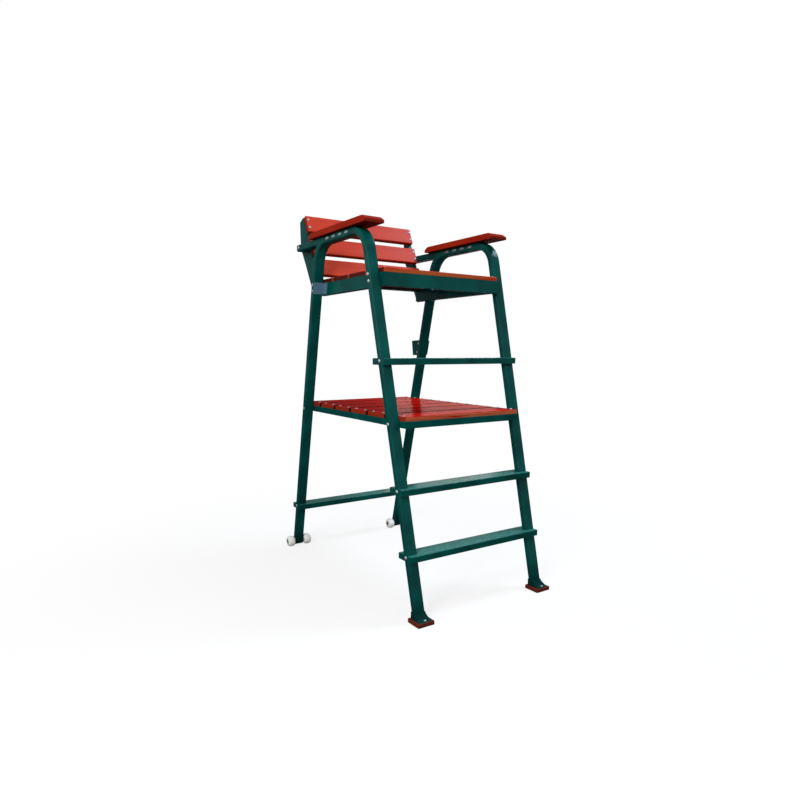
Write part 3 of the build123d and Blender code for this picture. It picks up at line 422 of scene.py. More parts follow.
@dataclass(frozen=True)
class LacqueredTimber(Finish):
    """Planed softwood under red lacquer: long grain, fine pores, a front-face tone that is partly
    painted light, and painted shade underneath.
    """

    deep: str
    full: str
    pale: str
    # Tone of front-facing faces: painted light on the deck and seat slats, darker on the armrests.
    edge: str
    # Painted shade for down-facing faces.
    under: str
    ends: str
    runs: Axis
    seam: Seam | None = None
    fade: Fade | None = None
    coat: float = 0.05
    coat_roughness: float = 0.22
    # Width and length of the streaks that run with the board.
    figure_mm: tuple[float, float] = (22.0, 420.0)
    pores_mm: tuple[float, float] = (3.0, 90.0)
    bleach_mm: tuple[float, float] = (70.0, 260.0)
    pore_depth_mm: float = 0.03

    def build(self) -> Material:
        """Make the material."""
        material, tree, shader, place = self.start()
        streaks = []
        for across_mm, along_mm in (self.figure_mm, self.pores_mm, self.bleach_mm):
            scale = [per_metre(across_mm)] * 3
            scale[self.runs.value] = per_metre(along_mm)
            drawn = add_node(tree, "Mapping", {"Vector": place}, in_3=scale)
            links = {"Vector": drawn}
            streaks.append(add_node(tree, "TexNoise", links, Scale=1.0, Detail=4.0, Roughness=0.6))
        figure, pores, bleach = streaks
        # Growth rings show through the lacquer as broad bands that run with the board.
        bands = add_node(tree, "MapRange", {"Value": figure}, From_Min=0.25, From_Max=0.75)
        tone = add_node(
            tree, "Mix", {"Factor": bands}, data_type="RGBA", in_6=self.deep, in_7=self.full
        )
        # Fine pores catch dirt and darken in streaks a few millimetres wide.
        dirt = add_node(
            tree, "MapRange", {"Value": pores}, From_Min=0.54, From_Max=0.76, To_Max=0.4
        )
        # Sun has bleached the middle of the show faces in soft patches.
        sun = add_node(
            tree, "MapRange", {"Value": bleach}, From_Min=0.50, From_Max=0.75, To_Max=0.6
        )
        layers = [(dirt, self.deep), (sun, self.pale)]
        axes = add_node(tree, "SeparateXYZ", {"Vector": place}).outputs
        # The back's lowest slat is painted lighter and more orange, as painted light over the
        # shadow that the side frame and armrest cast on it.
        if self.fade:
            head, foot = metres(self.fade.head_mm), metres(self.fade.foot_mm)
            painted_light_share = add_node(tree, "MapRange", {"Value": axes["Z"]}, From_Min=head, From_Max=foot)
            layers.append((painted_light_share, self.fade.colour))
        # Front-facing faces take the front tone in patches: on the deck and seat slats it is
        # lighter and browner, painted light for the light that their front edges catch, and on the
        # armrests it is darker. Down-facing faces are painted darker, as painted shade.
        normal = add_node(tree, "TexCoord").outputs["Normal"]
        front_tone_patches = add_node(tree, "MapRange", {"Value": figure}, From_Min=0.35, From_Max=0.5)
        faces = ((Facing.FRONT, self.edge, 0.75), (Facing.DOWN, self.under, 0.35))
        for facing, colour, low in faces:
            links = {0: normal}
            looks = add_node(tree, "VectorMath", links, operation="DOT_PRODUCT", in_1=facing.value)
            share = add_node(tree, "MapRange", {"Value": looks}, From_Min=low, From_Max=0.95)
            if facing is Facing.FRONT:
                share = add_node(tree, "Math", {0: share, 1: front_tone_patches}, operation="MULTIPLY")
            layers.append((share, colour))
        # Sawn ends soak up the lacquer and stay dark.
        sides = add_node(tree, "SeparateXYZ", {"Vector": normal}).outputs[self.runs.value]
        sawn = add_node(tree, "Math", {0: sides}, operation="ABSOLUTE")
        ends = add_node(tree, "MapRange", {"Value": sawn}, From_Min=0.5, From_Max=0.9)
        layers.append((ends, self.ends))
        if self.seam:
            # Painted shade darkens the slats beside each gap, but not in front of the first slat.
            first, half_pitch = metres(self.seam.first_mm), metres(self.seam.pitch_mm / 2)
            wide, narrow = metres(self.seam.width_mm), metres(self.seam.width_mm / 2)
            past = add_node(tree, "Math", {0: axes["Y"]}, operation="SUBTRACT", in_1=first)
            nearest = add_node(tree, "Math", {0: past}, operation="PINGPONG", in_1=half_pitch)
            beside = add_node(tree, "MapRange", {"Value": nearest}, From_Min=wide, From_Max=narrow)
            behind = add_node(tree, "MapRange", {"Value": past}, From_Max=2 * wide)
            gap_shade_share = add_node(tree, "Math", {0: beside, 1: behind}, operation="MULTIPLY")
            layers.append((gap_shade_share, self.seam.colour))
        for share, colour in layers:
            tone = add_node(tree, "Mix", {"Factor": share, 6: tone}, data_type="RGBA", in_7=colour)
        rough = add_node(
            tree, "MapRange", {"Value": pores}, From_Min=0.3, From_Max=0.7, To_Min=0.38, To_Max=0.55
        )
        bump = add_node(tree, "Bump", {"Height": pores}, Distance=metres(self.pore_depth_mm))
        wire(
            tree, shader, {"Base Color": tone, "Roughness": rough, "Normal": bump},
            Specular_IOR_Level=0.0, Coat_Weight=self.coat, Coat_Roughness=self.coat_roughness,
        )
        return material


@dataclass(frozen=True)
class CoatedSteel(Finish):
    """Zinc on steel: a soft grey metal with spangle and dull spots."""

    colour: str
    dull: str
    metallic: float
    smooth: float
    rough: float
    spangle_mm: float
    stain_depth_mm: float = 0.03

    def build(self) -> Material:
        """Make the material."""
        material, tree, shader, place = self.start()
        # Zinc crystals show as flat grains, each a little lighter or darker than the next.
        grain = add_node(tree, "TexVoronoi", {"Vector": place}, Scale=per_metre(self.spangle_mm))
        shade = add_node(tree, "SeparateColor", {"Color": grain.outputs["Color"]})
        stain = add_node(
            tree, "TexNoise", {"Vector": place}, Scale=per_metre(4 * self.spangle_mm), Detail=3.0
        )
        blend = add_node(tree, "Math", {0: shade, 1: stain}, operation="MULTIPLY")
        skin = add_node(
            tree, "Mix", {"Factor": blend}, data_type="RGBA", in_6=self.colour, in_7=self.dull
        )
        rough = add_node(
            tree, "MapRange", {"Value": stain}, From_Min=0.3, From_Max=0.7,
            To_Min=self.smooth, To_Max=self.rough,
        )
        bump = add_node(tree, "Bump", {"Height": stain}, Distance=metres(self.stain_depth_mm))
        links = {"Base Color": skin, "Roughness": rough, "Normal": bump}
        wire(tree, shader, links, Metallic=self.metallic)
        return material


@dataclass(frozen=True)
class MouldedPlastic(Finish):
    """Injection-moulded or cast polymer: even colour, matt grain and ground-in dirt."""

    colour: str
    soiled: str
    soil_share: float
    smooth: float
    rough: float
    grain_mm: float
    grain_depth_mm: float
    soil_mm: float = 18.0
    level: float = 0.35

    def build(self) -> Material:
        """Make the material."""
        material, tree, shader, place = self.start()
        # Court dust is rubbed into the surface in patches two centimetres wide.
        soil = add_node(
            tree, "TexNoise", {"Vector": place}, Scale=per_metre(self.soil_mm),
            Detail=5.0, Roughness=0.65,
        )
        patch = add_node(
            tree, "MapRange", {"Value": soil}, From_Min=0.45, From_Max=0.72, To_Max=self.soil_share
        )
        skin = add_node(
            tree, "Mix", {"Factor": patch}, data_type="RGBA", in_6=self.colour, in_7=self.soiled
        )
        rough = add_node(
            tree, "MapRange", {"Value": soil}, From_Min=0.3, From_Max=0.7,
            To_Min=self.smooth, To_Max=self.rough,
        )
        grain = add_node(
            tree, "TexNoise", {"Vector": place}, Scale=per_metre(self.grain_mm), Detail=2.0
        )
        bump = add_node(tree, "Bump", {"Height": grain}, Distance=metres(self.grain_depth_mm))
        links = {"Base Color": skin, "Roughness": rough, "Normal": bump}
        wire(tree, shader, links, Specular_IOR_Level=self.level)
        return material


FINISHES: dict[str, Finish] = {
    "green_paint": GlossEnamel(
        "alkyd gloss enamel on steel", deep="#023B38", full="#034E48", grit="#4FA398",
        grit_share=0.6, mud="#0C211F",
    ),
    "back_slat_lacquer": LacqueredTimber(
        "red lacquer on larch, back", deep="#A82E1C", full="#BE3E2A", pale="#C64C38",
        edge="#BE3E2A", under="#7A1A0C", ends="#7A2A1A", runs=Axis.ACROSS,
        fade=Fade(1620.0, 1720.0, "#E05428"), coat=0.08, coat_roughness=0.3,
    ),
    "seat_slat_lacquer": LacqueredTimber(
        "red lacquer on larch, seat", deep="#A01408", full="#B81C0C", pale="#C2341E",
        edge="#A85028", under="#3A0C08", ends="#4A1A12", runs=Axis.ACROSS,
    ),
    "deck_slat_lacquer": LacqueredTimber(
        "red lacquer on larch, deck", deep="#A00C06", full="#BA1409", pale="#C02C1C",
        edge="#C46A44", under="#4A0E08", ends="#8A2A18", runs=Axis.ACROSS, coat=0.03,
        seam=Seam(first_mm=-504.8, pitch_mm=174.1, width_mm=14.0, colour="#1C0604"),
    ),
    "armrest_lacquer": LacqueredTimber(
        "red lacquer on larch, armrests", deep="#80190B", full="#98240F", pale="#A23218",
        edge="#4E120A", under="#5A120A", ends="#6E1C10", runs=Axis.ALONG,
    ),
    "pad_rubber": MouldedPlastic(
        "moulded nitrile rubber", colour="#64241A", soiled="#43190F", soil_share=0.6, smooth=0.7,
        rough=0.9, grain_mm=2.0, grain_depth_mm=0.15, level=0.08,
    ),
    "roller_nylon": MouldedPlastic(
        "turned white nylon", colour="#FFFFFB", soiled="#E6E4D8", soil_share=0.4, smooth=0.35,
        rough=0.5, grain_mm=1.5, grain_depth_mm=0.03,
    ),
    "dark_plastic": MouldedPlastic(
        "black polypropylene", colour="#3A3B30", soiled="#5C5B4C", soil_share=0.5, smooth=0.4,
        rough=0.6, grain_mm=1.2, grain_depth_mm=0.05,
    ),
    "galvanised_steel": CoatedSteel(
        "hot-dip galvanised steel", colour="#5F8296", dull="#3E6078", metallic=0.25, smooth=0.42,
        rough=0.6, spangle_mm=6.0,
    ),
    "zinc_steel": CoatedSteel(
        "bright zinc-plated steel", colour="#9CA6AC", dull="#727C84", metallic=0.7, smooth=0.34,
        rough=0.5, spangle_mm=2.0,
    ),
}


@dataclass
class Palette:
    """The chair's finishes, one material for each slot of the record."""

    materials: dict[str, Material] = field(default_factory=dict)

    def mix(self) -> None:
        """Build every finish."""
        for slot, finish in FINISHES.items():
            self.materials[slot] = finish.build()

    def paint(self, names: list[str]) -> None:
        """Dress CAD nodes with the finish of their slot.

        Args:
            names: nodes to dress.
        """
        slots = {part["node"]: part["material_slot"] for part in frame["record"]["subparts"]}
        for name in names:
            dress(frame["nodes"][name], self.materials[slots[name]])

    def fit(self, piece: Object, slot: str, body: str) -> None:
        """Dress a new piece and make it ride on its body.

        Args:
            piece: finished piece.
            slot: slot of the record that it takes its finish from.
            body: body that it moves with.
        """
        dress(piece, self.materials[slot])
        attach(piece, body)


# --- Weld beads ---


@dataclass
class WeldBead:
    """Row of overlapping ripples, as a hand-laid weld leaves."""

    name: str
    start: Vector
    end: Vector
    radius_mm: float = 2.4
    ripple_mm: float = 1.9
    form: tuple[float, float, float] = (0.8, 1.0, 0.72)

    def build(self) -> Object:
        """Model one ripple and repeat it along the joint.

        Returns:
            The finished bead.
        """
        run = self.end - self.start
        pitch, radius = metres(self.ripple_mm), metres(self.radius_mm)
        deselect()
        bpy.ops.mesh.primitive_uv_sphere_add(segments=10, ring_count=6, radius=radius)
        bead = bpy.context.object
        bead.name = self.name
        stretch(bead, self.form)
        apply_modifier(
            bead, "ARRAY", count=max(2, round(run.length / pitch)), use_relative_offset=False,
            use_constant_offset=True, constant_offset_displace=(pitch, 0.0, 0.0),
        )
        only(bead)
        bpy.ops.object.shade_smooth()
        turn = run.to_track_quat("X", "Z").to_matrix().to_4x4()
        settle(bead, Matrix.Translation(self.start) @ turn)
        return bead


# --- Sub-assemblies ---


@dataclass
class SubAssembly:
    """Named group of CAD nodes with the pieces that finish them."""

    title: str
    nodes: list[str]

    def build(self) -> Made:
        """Model the pieces that the CAD nodes lack."""
        return []

    def finish(self, palette: Palette) -> None:
        """Build and dress the whole group.

        Args:
            palette: the chair's finishes.
        """
        palette.paint(self.nodes)
        made = self.build()
        for piece, slot, body in made:
            palette.fit(piece, slot, body)
        log.info("%s: %d nodes dressed, %d pieces added", self.title, len(self.nodes), len(made))


@dataclass
class SlotCaps:
    """Pressed zinc caps that close the slots in one face of an arm tube."""

    name: str
    face: Vector
    looks: int
    length_mm: float = 33.4
    height_mm: float = 11.4
    depth_mm: float = 3.0
    proud_mm: float = 0.8
    pitch_mm: float = 66.2
    count: int = 4

    def build(self) -> Object:
        """Press one cap and repeat it along the row.

        Returns:
            The row of caps.
        """
        radius = metres(self.height_mm / 2)
        reach = metres(self.length_mm - self.height_mm) / 2
        pitch, depth = metres(self.pitch_mm), metres(self.depth_mm)
        deselect()
        bpy.ops.mesh.primitive_cylinder_add(vertices=32, radius=radius, depth=depth)
        caps = bpy.context.object
        caps.name = self.name
        for end in (-1, 1):
            pick(caps, "VERT", lambda vertex: vertex.co.x * end > LEVEL)
            bpy.ops.transform.translate(value=(end * reach, 0.0, 0.0))
        proud = metres(self.proud_mm)
        apply_modifier(caps, "BEVEL", width=proud, segments=2, limit_method="ANGLE")
        apply_modifier(
            caps, "ARRAY", count=self.count, use_relative_offset=False, use_constant_offset=True,
            constant_offset_displace=(pitch, 0.0, 0.0),
        )
        smooth(caps, angle_deg=35)
        along = Matrix.Rotation(math.radians(90), 4, "Z")
        upright = Matrix.Rotation(math.radians(90 * self.looks), 4, "X")
        out = self.looks * metres(self.proud_mm - self.depth_mm / 2)
        start = self.face + Vector((out, -pitch * (self.count - 1) / 2, 0.0))
        settle(caps, Matrix.Translation(start) @ (along @ upright))
        return caps


@dataclass
class BentTube:
    """Rectangular tube bent into one side frame: front leg, arm and rear leg in one run."""

    name: str
    centre_mm: float
    size_mm: tuple[float, float] = (54.1, 33.0)
    corner_mm: float = 6.0
    wall_mm: float = 2.5
    bend_mm: float = 122.0
    arm_mm: float = 1745.0
    front_lean_deg: float = 14.1
    rear_lean_deg: float = 14.6
    front_face_mm: float = -680.8
    rear_face_mm: float = 720.3
    front_cut_mm: float = 18.0
    rear_cut_mm: float = 9.0
    spare_mm: float = 60.0
    steps: int = 28

    def corner(self, face_mm: float, lean_deg: float, step: int) -> float:
        """Where a leg's centre line meets the arm's.

        Args:
            face_mm: outer face of the leg at the floor.
            lean_deg: lean of the leg.
            step: 1 for the front leg and -1 for the rear one.

        Returns:
            Place along the chair, in millimetres.
        """
        lean = math.radians(lean_deg)
        half_depth = self.size_mm[1] / 2 / math.cos(lean)
        return face_mm + step * (half_depth + self.arm_mm * math.tan(lean))

    def build(self) -> Object:
        """Push the tube's section up the front leg, round both bends and down the rear leg.

        Returns:
            The finished tube.
        """
        front, rear = math.radians(self.front_lean_deg), math.radians(self.rear_lean_deg)
        front_y = self.corner(self.front_face_mm, self.front_lean_deg, 1)
        rear_y = self.corner(self.rear_face_mm, self.rear_lean_deg, -1)
        front_turn, rear_turn = math.pi / 2 - front, math.pi / 2 - rear
        turns = (front_turn, rear_turn)
        front_set, rear_set = (self.bend_mm * math.tan(turn / 2) for turn in turns)
        up = Vector((0.0, math.sin(front), math.cos(front)))
        down = Vector((0.0, math.sin(rear), -math.cos(rear)))
        middle = point(self.centre_mm, front_y, self.arm_mm)
        foot = middle - up * (self.arm_mm + self.spare_mm) / math.cos(front) / 1000
        leg = (middle - foot).length - metres(front_set)
        arm = Vector((0.0, metres(rear_y - rear_set - front_y - front_set), 0.0))
        tube = section(self.name, self.size_mm, self.corner_mm, segments=8)
        settle(tube, Matrix.Translation(foot) @ Matrix.Rotation(-front, 4, "X"))
        pick(tube, "FACE", lambda face: True)
        push(up * leg)
        for turn, centre_y, run in (
            (front_turn, front_y + front_set, arm), (rear_turn, rear_y - rear_set, down * leg)
        ):
            centre = (metres(self.centre_mm), metres(centre_y), metres(self.arm_mm - self.bend_mm))
            bpy.ops.mesh.spin(steps=self.steps, angle=turn, center=centre, axis=(1.0, 0.0, 0.0))
            push(run)
        self.cut(tube, -1, metres(self.front_cut_mm), front)
        self.cut(tube, 1, metres(self.rear_cut_mm), rear)
        outward_faces(tube)
        smooth(tube, angle_deg=30)
        return tube

    def cut(self, tube: Object, step: int, height: float, lean: float) -> None:
        """Saw one leg off level and hollow its end.

        Args:
            tube: whole tube, in edit mode.
            step: -1 for the front leg and 1 for the rear one.
            height: height of the cut.
            lean: lean of the leg, in radians.
        """
        pick(tube, "FACE", lambda face: face.center.y * step > metres(self.bend_mm))
        bpy.ops.mesh.bisect(
            plane_co=(0.0, 0.0, height), plane_no=(0.0, 0.0, 1.0), clear_inner=True, use_fill=True
        )
        pick(
            tube, "FACE",
            lambda face: face.center.y * step > 0 and abs(face.center.z - height) < LEVEL,
        )
        bpy.ops.mesh.inset(thickness=metres(self.wall_mm), depth=0.0)
        push(Vector((0.0, -step * math.sin(lean), math.cos(lean))) * metres(self.spare_mm))


@dataclass
class SideFrames(SubAssembly):
    """Bent tube frames with capped arm slots and the weld under each arm tail."""

    centre_mm: float = 370.65
    inner_mm: float = 343.6
    outer_mm: float = 397.7
    slots_y_mm: float = 20.0
    slots_z_mm: float = 1748.0
    crotch_y_mm: float = 245.4
    crotch_z_mm: float = 1727.4
    weld_clear_mm: tuple[float, float] = (3.0, 4.0)

    def build(self) -> Made:
        """Bend both tubes, cap the arm slots and lay a weld in the crotch under each tail."""
        made = []
        clear_inner, clear_outer = self.weld_clear_mm
        for side in Side:
            tube = BentTube(f"frame_tube_{side.label}", side.value * self.centre_mm).build()
            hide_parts(f"side_frame_{side.name.lower()}")
            made.append((tube, "green_paint", "chair"))
            for place, x_mm, looks in (
                ("inner", self.inner_mm, -side.value), ("outer", self.outer_mm, side.value)
            ):
                face = point(side.value * x_mm, self.slots_y_mm, self.slots_z_mm)
                caps = SlotCaps(f"slot_caps_{side.label}_{place}", face, looks).build()
                made.append((caps, "zinc_steel", "chair"))
            start, end = (
                point(side.value * x_mm, self.crotch_y_mm, self.crotch_z_mm)
                for x_mm in (self.inner_mm + clear_inner, self.outer_mm - clear_outer)
            )
            bead = WeldBead(f"tail_weld_{side.label}", start, end, radius_mm=3.0).build()
            made.append((bead, "green_paint", "chair"))
        return made


@dataclass
class FlaredCollar:
    """Pressed collar that sweeps out from a front leg to its pad in a hollow curve."""

    node: str
    base_mm: tuple[float, float] = (68.0, 78.0)
    rim_mm: tuple[float, float] = (57.6, 38.5)
    rim_shift_mm: float = 24.5
    front_slip_mm: float = 3.0
    corner_mm: float = 5.0
    rings: int = 8
    sweep: float = 1.6

    def build(self) -> Object:
        """Raise the base ring by ring to the rim.

        Returns:
            The finished collar.
        """
        low, high = corners(self.node)
        height = high.z - low.z
        collar = section(f"{self.node}_pressed", self.base_mm, self.corner_mm, segments=5)
        pick(collar, "FACE", lambda face: True)
        (width, depth), shift = self.base_mm, 0.0
        for ring in range(1, self.rings + 1):
            left = (1 - ring / self.rings) ** self.sweep
            new_width, new_depth = (
                rim + (base - rim) * left for rim, base in zip(self.rim_mm, self.base_mm)
            )
            new_shift = metres(self.rim_shift_mm) * (1 - left)
            push((0.0, new_shift - shift, height / self.rings))
            bpy.ops.transform.resize(
                value=(new_width / width, new_depth / depth, 1.0),
                center_override=(0.0, new_shift, height * ring / self.rings),
            )
            width, depth, shift = new_width, new_depth, new_shift
        outward_faces(collar)
        smooth(collar, angle_deg=30)
        middle = (low + high) / 2
        base_y = low.y + metres(self.front_slip_mm) + metres(self.base_mm[1] / 2)
        settle(collar, Matrix.Translation((middle.x, base_y, low.z)))
        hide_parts(self.node)
        return collar


@dataclass
class Feet(SubAssembly):
    """Front feet: rubber pads, flared collars and the welds round the collars' rims."""

    centre_mm: float = 370.65
    rim_z_mm: float = 46.4
    front_y_mm: float = -670.2
    rear_y_mm: float = -634.2
    half_width_mm: float = 28.0

    def build(self) -> Made:
        """Press both collars and lay a bead along each side of each rim."""
        made = []
        for side in Side:
            collar = FlaredCollar(f"foot_collar_{side.label}").build()
            made.append((collar, "green_paint", "chair"))
            x_mm = side.value * self.centre_mm
            rim = [
                point(x_mm + across * self.half_width_mm, y_mm, self.rim_z_mm)
                for across, y_mm in (
                    (-1, self.front_y_mm), (1, self.front_y_mm), (1, self.rear_y_mm),
                    (-1, self.rear_y_mm),
                )
            ]
            for number, (start, end) in enumerate(zip(rim, rim[1:] + rim[:1]), start=1):
                name = f"collar_weld_{side.label}_{number}"
                bead = WeldBead(name, start, end, radius_mm=1.5).build()
                made.append((bead, "green_paint", "chair"))
        return made


@dataclass
class RailRing(SubAssembly):
    """Rail frame under slats, with a weld on the underside of each mitre."""

    half_width_mm: float = 0.0
    rail_mm: float = 0.0
    front_y_mm: float = 0.0
    rear_y_mm: float = 0.0
    under_z_mm: float = 0.0
    mitres: tuple[str, ...] = ("front", "rear")
    outer_clear_mm: float = 3.0
    inner_clear_mm: float = 1.0

    def build(self) -> Made:
        """Lay a bead along each mitre."""
        made = []
        reach_mm = self.rail_mm - self.inner_clear_mm
        for side in Side:
            for mitre in self.mitres:
                inward = 1 if mitre == "front" else -1
                outer_y_mm = self.front_y_mm if mitre == "front" else self.rear_y_mm
                start, end = (
                    point(
                        side.value * (self.half_width_mm - in_mm),
                        outer_y_mm + inward * in_mm,
                        self.under_z_mm,
                    )
                    for in_mm in (self.outer_clear_mm, reach_mm)
                )
                name = f"{self.title.split()[0].lower()}_weld_{mitre}_{side.label}"
                bead = WeldBead(name, start, end, radius_mm=1.8).build()
                made.append((bead, "green_paint", "chair"))
        return made


@dataclass
class Rollers(SubAssembly):
    """White rollers on the rear legs: barrels, parting grooves, and hubs with dark bushes that also
    stand in for the shade inside the hubs.
    """

    rounding_mm: float = 17.0
    hub_mm: float = 15.5
    hub_depth_mm: float = 5.0
    lip_mm: tuple[float, float] = (1.2, 0.8)
    boss_mm: float = 9.0
    boss_edge_mm: tuple[float, float] = (0.6, 1.6)
    bore_mm: float = 6.4
    bore_depth_mm: float = 9.0
    groove_mm: tuple[float, float] = (0.8, 0.6)
    bush_mm: float = 11.0

    def roller(self, node: str) -> Object:
        """Turn one roller in place of its CAD node.

        Args:
            node: CAD node that it stands for.

        Returns:
            The finished roller.
        """
        low, high = corners(node)
        size = high - low
        radius, width = size.z / 2, size.x
        deselect()
        bpy.ops.mesh.primitive_cylinder_add(vertices=64, radius=radius, depth=width)
        wheel = bpy.context.object
        wheel.name = f"{node}_turned"
        for end in (-1, 1):
            self.hub(wheel, end, radius, width / 2)
        vertices = wheel.data.vertices

        def on_rim(edge: MeshEdge) -> bool:
            """Whether an edge runs round either end of the barrel."""
            ends = [vertices[index].co for index in edge.vertices]
            outside = all(place.xy.length > radius * NEARLY for place in ends)
            return outside and abs(ends[0].z - ends[1].z) < LEVEL

        pick(wheel, "EDGE", on_rim)
        bpy.ops.mesh.bevel(offset=metres(self.rounding_mm), segments=10, profile=0.5)
        groove_width, groove_depth = (metres(size_mm) for size_mm in self.groove_mm)
        for offset in (-groove_width, 0.0, groove_width):
            bpy.ops.mesh.select_all(action="SELECT")
            bpy.ops.mesh.bisect(plane_co=(0, 0, offset), plane_no=(0, 0, 1))
        pick(
            wheel, "VERT",
            lambda vertex: abs(vertex.co.z) < LEVEL and vertex.co.xy.length > radius * NEARLY,
        )
        groove = 1 - groove_depth / radius
        bpy.ops.transform.resize(value=(groove, groove, 1.0))
        outward_faces(wheel)
        smooth(wheel, angle_deg=35)
        turn = Matrix.Rotation(math.radians(90), 4, "Y")
        settle(wheel, Matrix.Translation((low + high) / 2) @ turn)
        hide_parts(node)
        return wheel

    def hub(self, wheel: Object, end: int, radius: float, half: float) -> None:
        """Sink a hub with a boss and a bore into one end of a barrel.

        Args:
            wheel: the barrel, along Z.
            end: -1 or 1.
            radius: radius of the barrel.
            half: half of its width.
        """
        lip, lip_depth = self.lip_mm
        edge, edge_height = self.boss_edge_mm
        pick(
            wheel, "FACE",
            lambda face: face.normal.z * end > NEARLY and face.center.z * end > half * NEARLY,
        )
        bpy.ops.mesh.inset(thickness=radius - metres(self.hub_mm), depth=0.0)
        bpy.ops.mesh.inset(thickness=metres(lip), depth=-metres(lip_depth))
        push((0.0, 0.0, -end * metres(self.hub_depth_mm)))
        bpy.ops.mesh.inset(thickness=metres(self.hub_mm - lip - self.boss_mm), depth=0.0)
        bpy.ops.mesh.inset(thickness=metres(edge), depth=metres(edge_height))
        bpy.ops.mesh.inset(thickness=metres(self.boss_mm - edge - self.bore_mm), depth=0.0)
        push((0.0, 0.0, -end * metres(self.bore_depth_mm)))

    def bush(self, node: str, end: int) -> Object:
        """Form the plain bearing in one end of a roller's hub, dark so that it also stands in for
        the shade in the hub's recess.

        Args:
            node: CAD node of the roller.
            end: -1 or 1, for the end towards the sitter's right or left.

        Returns:
            The finished bush.
        """
        low, high = corners(node)
        lip, lip_depth = self.lip_mm
        deselect()
        bpy.ops.mesh.primitive_torus_add(
            major_segments=40, minor_segments=12, major_radius=metres(self.bush_mm),
            minor_radius=metres(self.hub_mm - self.bush_mm - lip),
        )
        ring = bpy.context.object
        ring.name = f"{node}_bush_{Side(end).label}"
        stretch(ring, (1.0, 1.0, 0.5))
        bpy.ops.object.shade_smooth()
        floor = (high.x - low.x) / 2 - metres(self.hub_depth_mm + lip_depth)
        place = (low + high) / 2 + Vector((end * floor, 0.0, 0.0))
        settle(ring, Matrix.Translation(place) @ Matrix.Rotation(math.radians(90), 4, "Y"))
        return ring

    def build(self) -> Made:
        """Turn the four rollers and their bushes, each on its own body."""
        made = []
        for node in self.nodes:
            made.append((self.roller(node), "roller_nylon", node))
            made.extend((self.bush(node, end), "dark_plastic", node) for end in (-1, 1))
        return made


@dataclass
class PoleBracket(SubAssembly):
    """Pole socket behind the left rear leg, with the welds between its tube and cheeks."""

    centre_mm: float = 370.65
    cheek_mm: float = 29.6
    foot_y_mm: float = 442.3
    foot_z_mm: float = 1187.0
    lean_deg: float = 8.0
    length_mm: float = 78.0

    def build(self) -> Made:
        """Lay a bead down the rear edge of each cheek."""
        made = []
        lean = math.radians(self.lean_deg)
        run = Vector((0.0, math.sin(lean), math.cos(lean))) * metres(self.length_mm)
        for name, step in (("inner", -1), ("outer", 1)):
            foot = point(self.centre_mm + step * self.cheek_mm, self.foot_y_mm, self.foot_z_mm)
            bead = WeldBead(f"socket_weld_{name}", foot, foot + run, radius_mm=2.2).build()
            made.append((bead, "green_paint", "chair"))
        return made


# --- Studio ---


@dataclass
class StudioCamera:
    """Camera at standing eye height, to the sitter's right of the chair's front."""

    focal_px: float = 599.36
    middle_px: tuple[float, float] = (410.02, 495.11)
    image_px: int = 800
    azimuth: float = -0.5930463
    pitch: float = 0.2370412
    roll: float = 0.0037547
    place: tuple[float, float, float] = (-1.8254917, -2.7407294, 1.2111457)
    sensor_mm: float = 36.0

    def build(self) -> None:
        """Make the camera and hand the scene to it."""
        data = bpy.data.cameras.new("studio_camera")
        camera = bpy.data.objects.new("studio_camera", data)
        bpy.context.scene.collection.objects.link(camera)
        flat = math.cos(self.pitch)
        across, along = math.sin(self.azimuth) * flat, -math.cos(self.azimuth) * flat
        back = Vector((across, along, math.sin(self.pitch)))
        level = (-back).cross(Vector((0, 0, 1))).normalized()
        upright = level.cross(-back)
        right = level * math.cos(self.roll) + upright * math.sin(self.roll)
        up = upright * math.cos(self.roll) - level * math.sin(self.roll)
        turn = Matrix((right, up, back)).transposed().to_4x4()
        camera.matrix_world = Matrix.Translation(self.place) @ turn
        data.sensor_fit = "HORIZONTAL"
        data.sensor_width = self.sensor_mm
        data.lens = self.focal_px / self.image_px * self.sensor_mm
        data.shift_x = (self.image_px / 2 - self.middle_px[0]) / self.image_px
        data.shift_y = (self.middle_px[1] - self.image_px / 2) / self.image_px
        bpy.context.scene.camera = camera


@dataclass
class SoftLamp:
    """Rectangular soft box."""

    name: str
    place: tuple[float, float, float]
    target: tuple[float, float, float]
    size: tuple[float, float]
    watts: float
    tint: str = "#FFFFFF"

    def build(self) -> None:
        """Hang the lamp and turn it to its target."""
        data = bpy.data.lights.new(self.name, "AREA")
        data.shape = "RECTANGLE"
        data.size, data.size_y = self.size
        data.energy = self.watts
        data.color = linear(self.tint)[:3]
        lamp = bpy.data.objects.new(self.name, data)
        bpy.context.scene.collection.objects.link(lamp)
        lamp.location = self.place
        aim = Vector(self.target) - Vector(self.place)
        lamp.rotation_euler = aim.to_track_quat("-Z", "Y").to_euler()


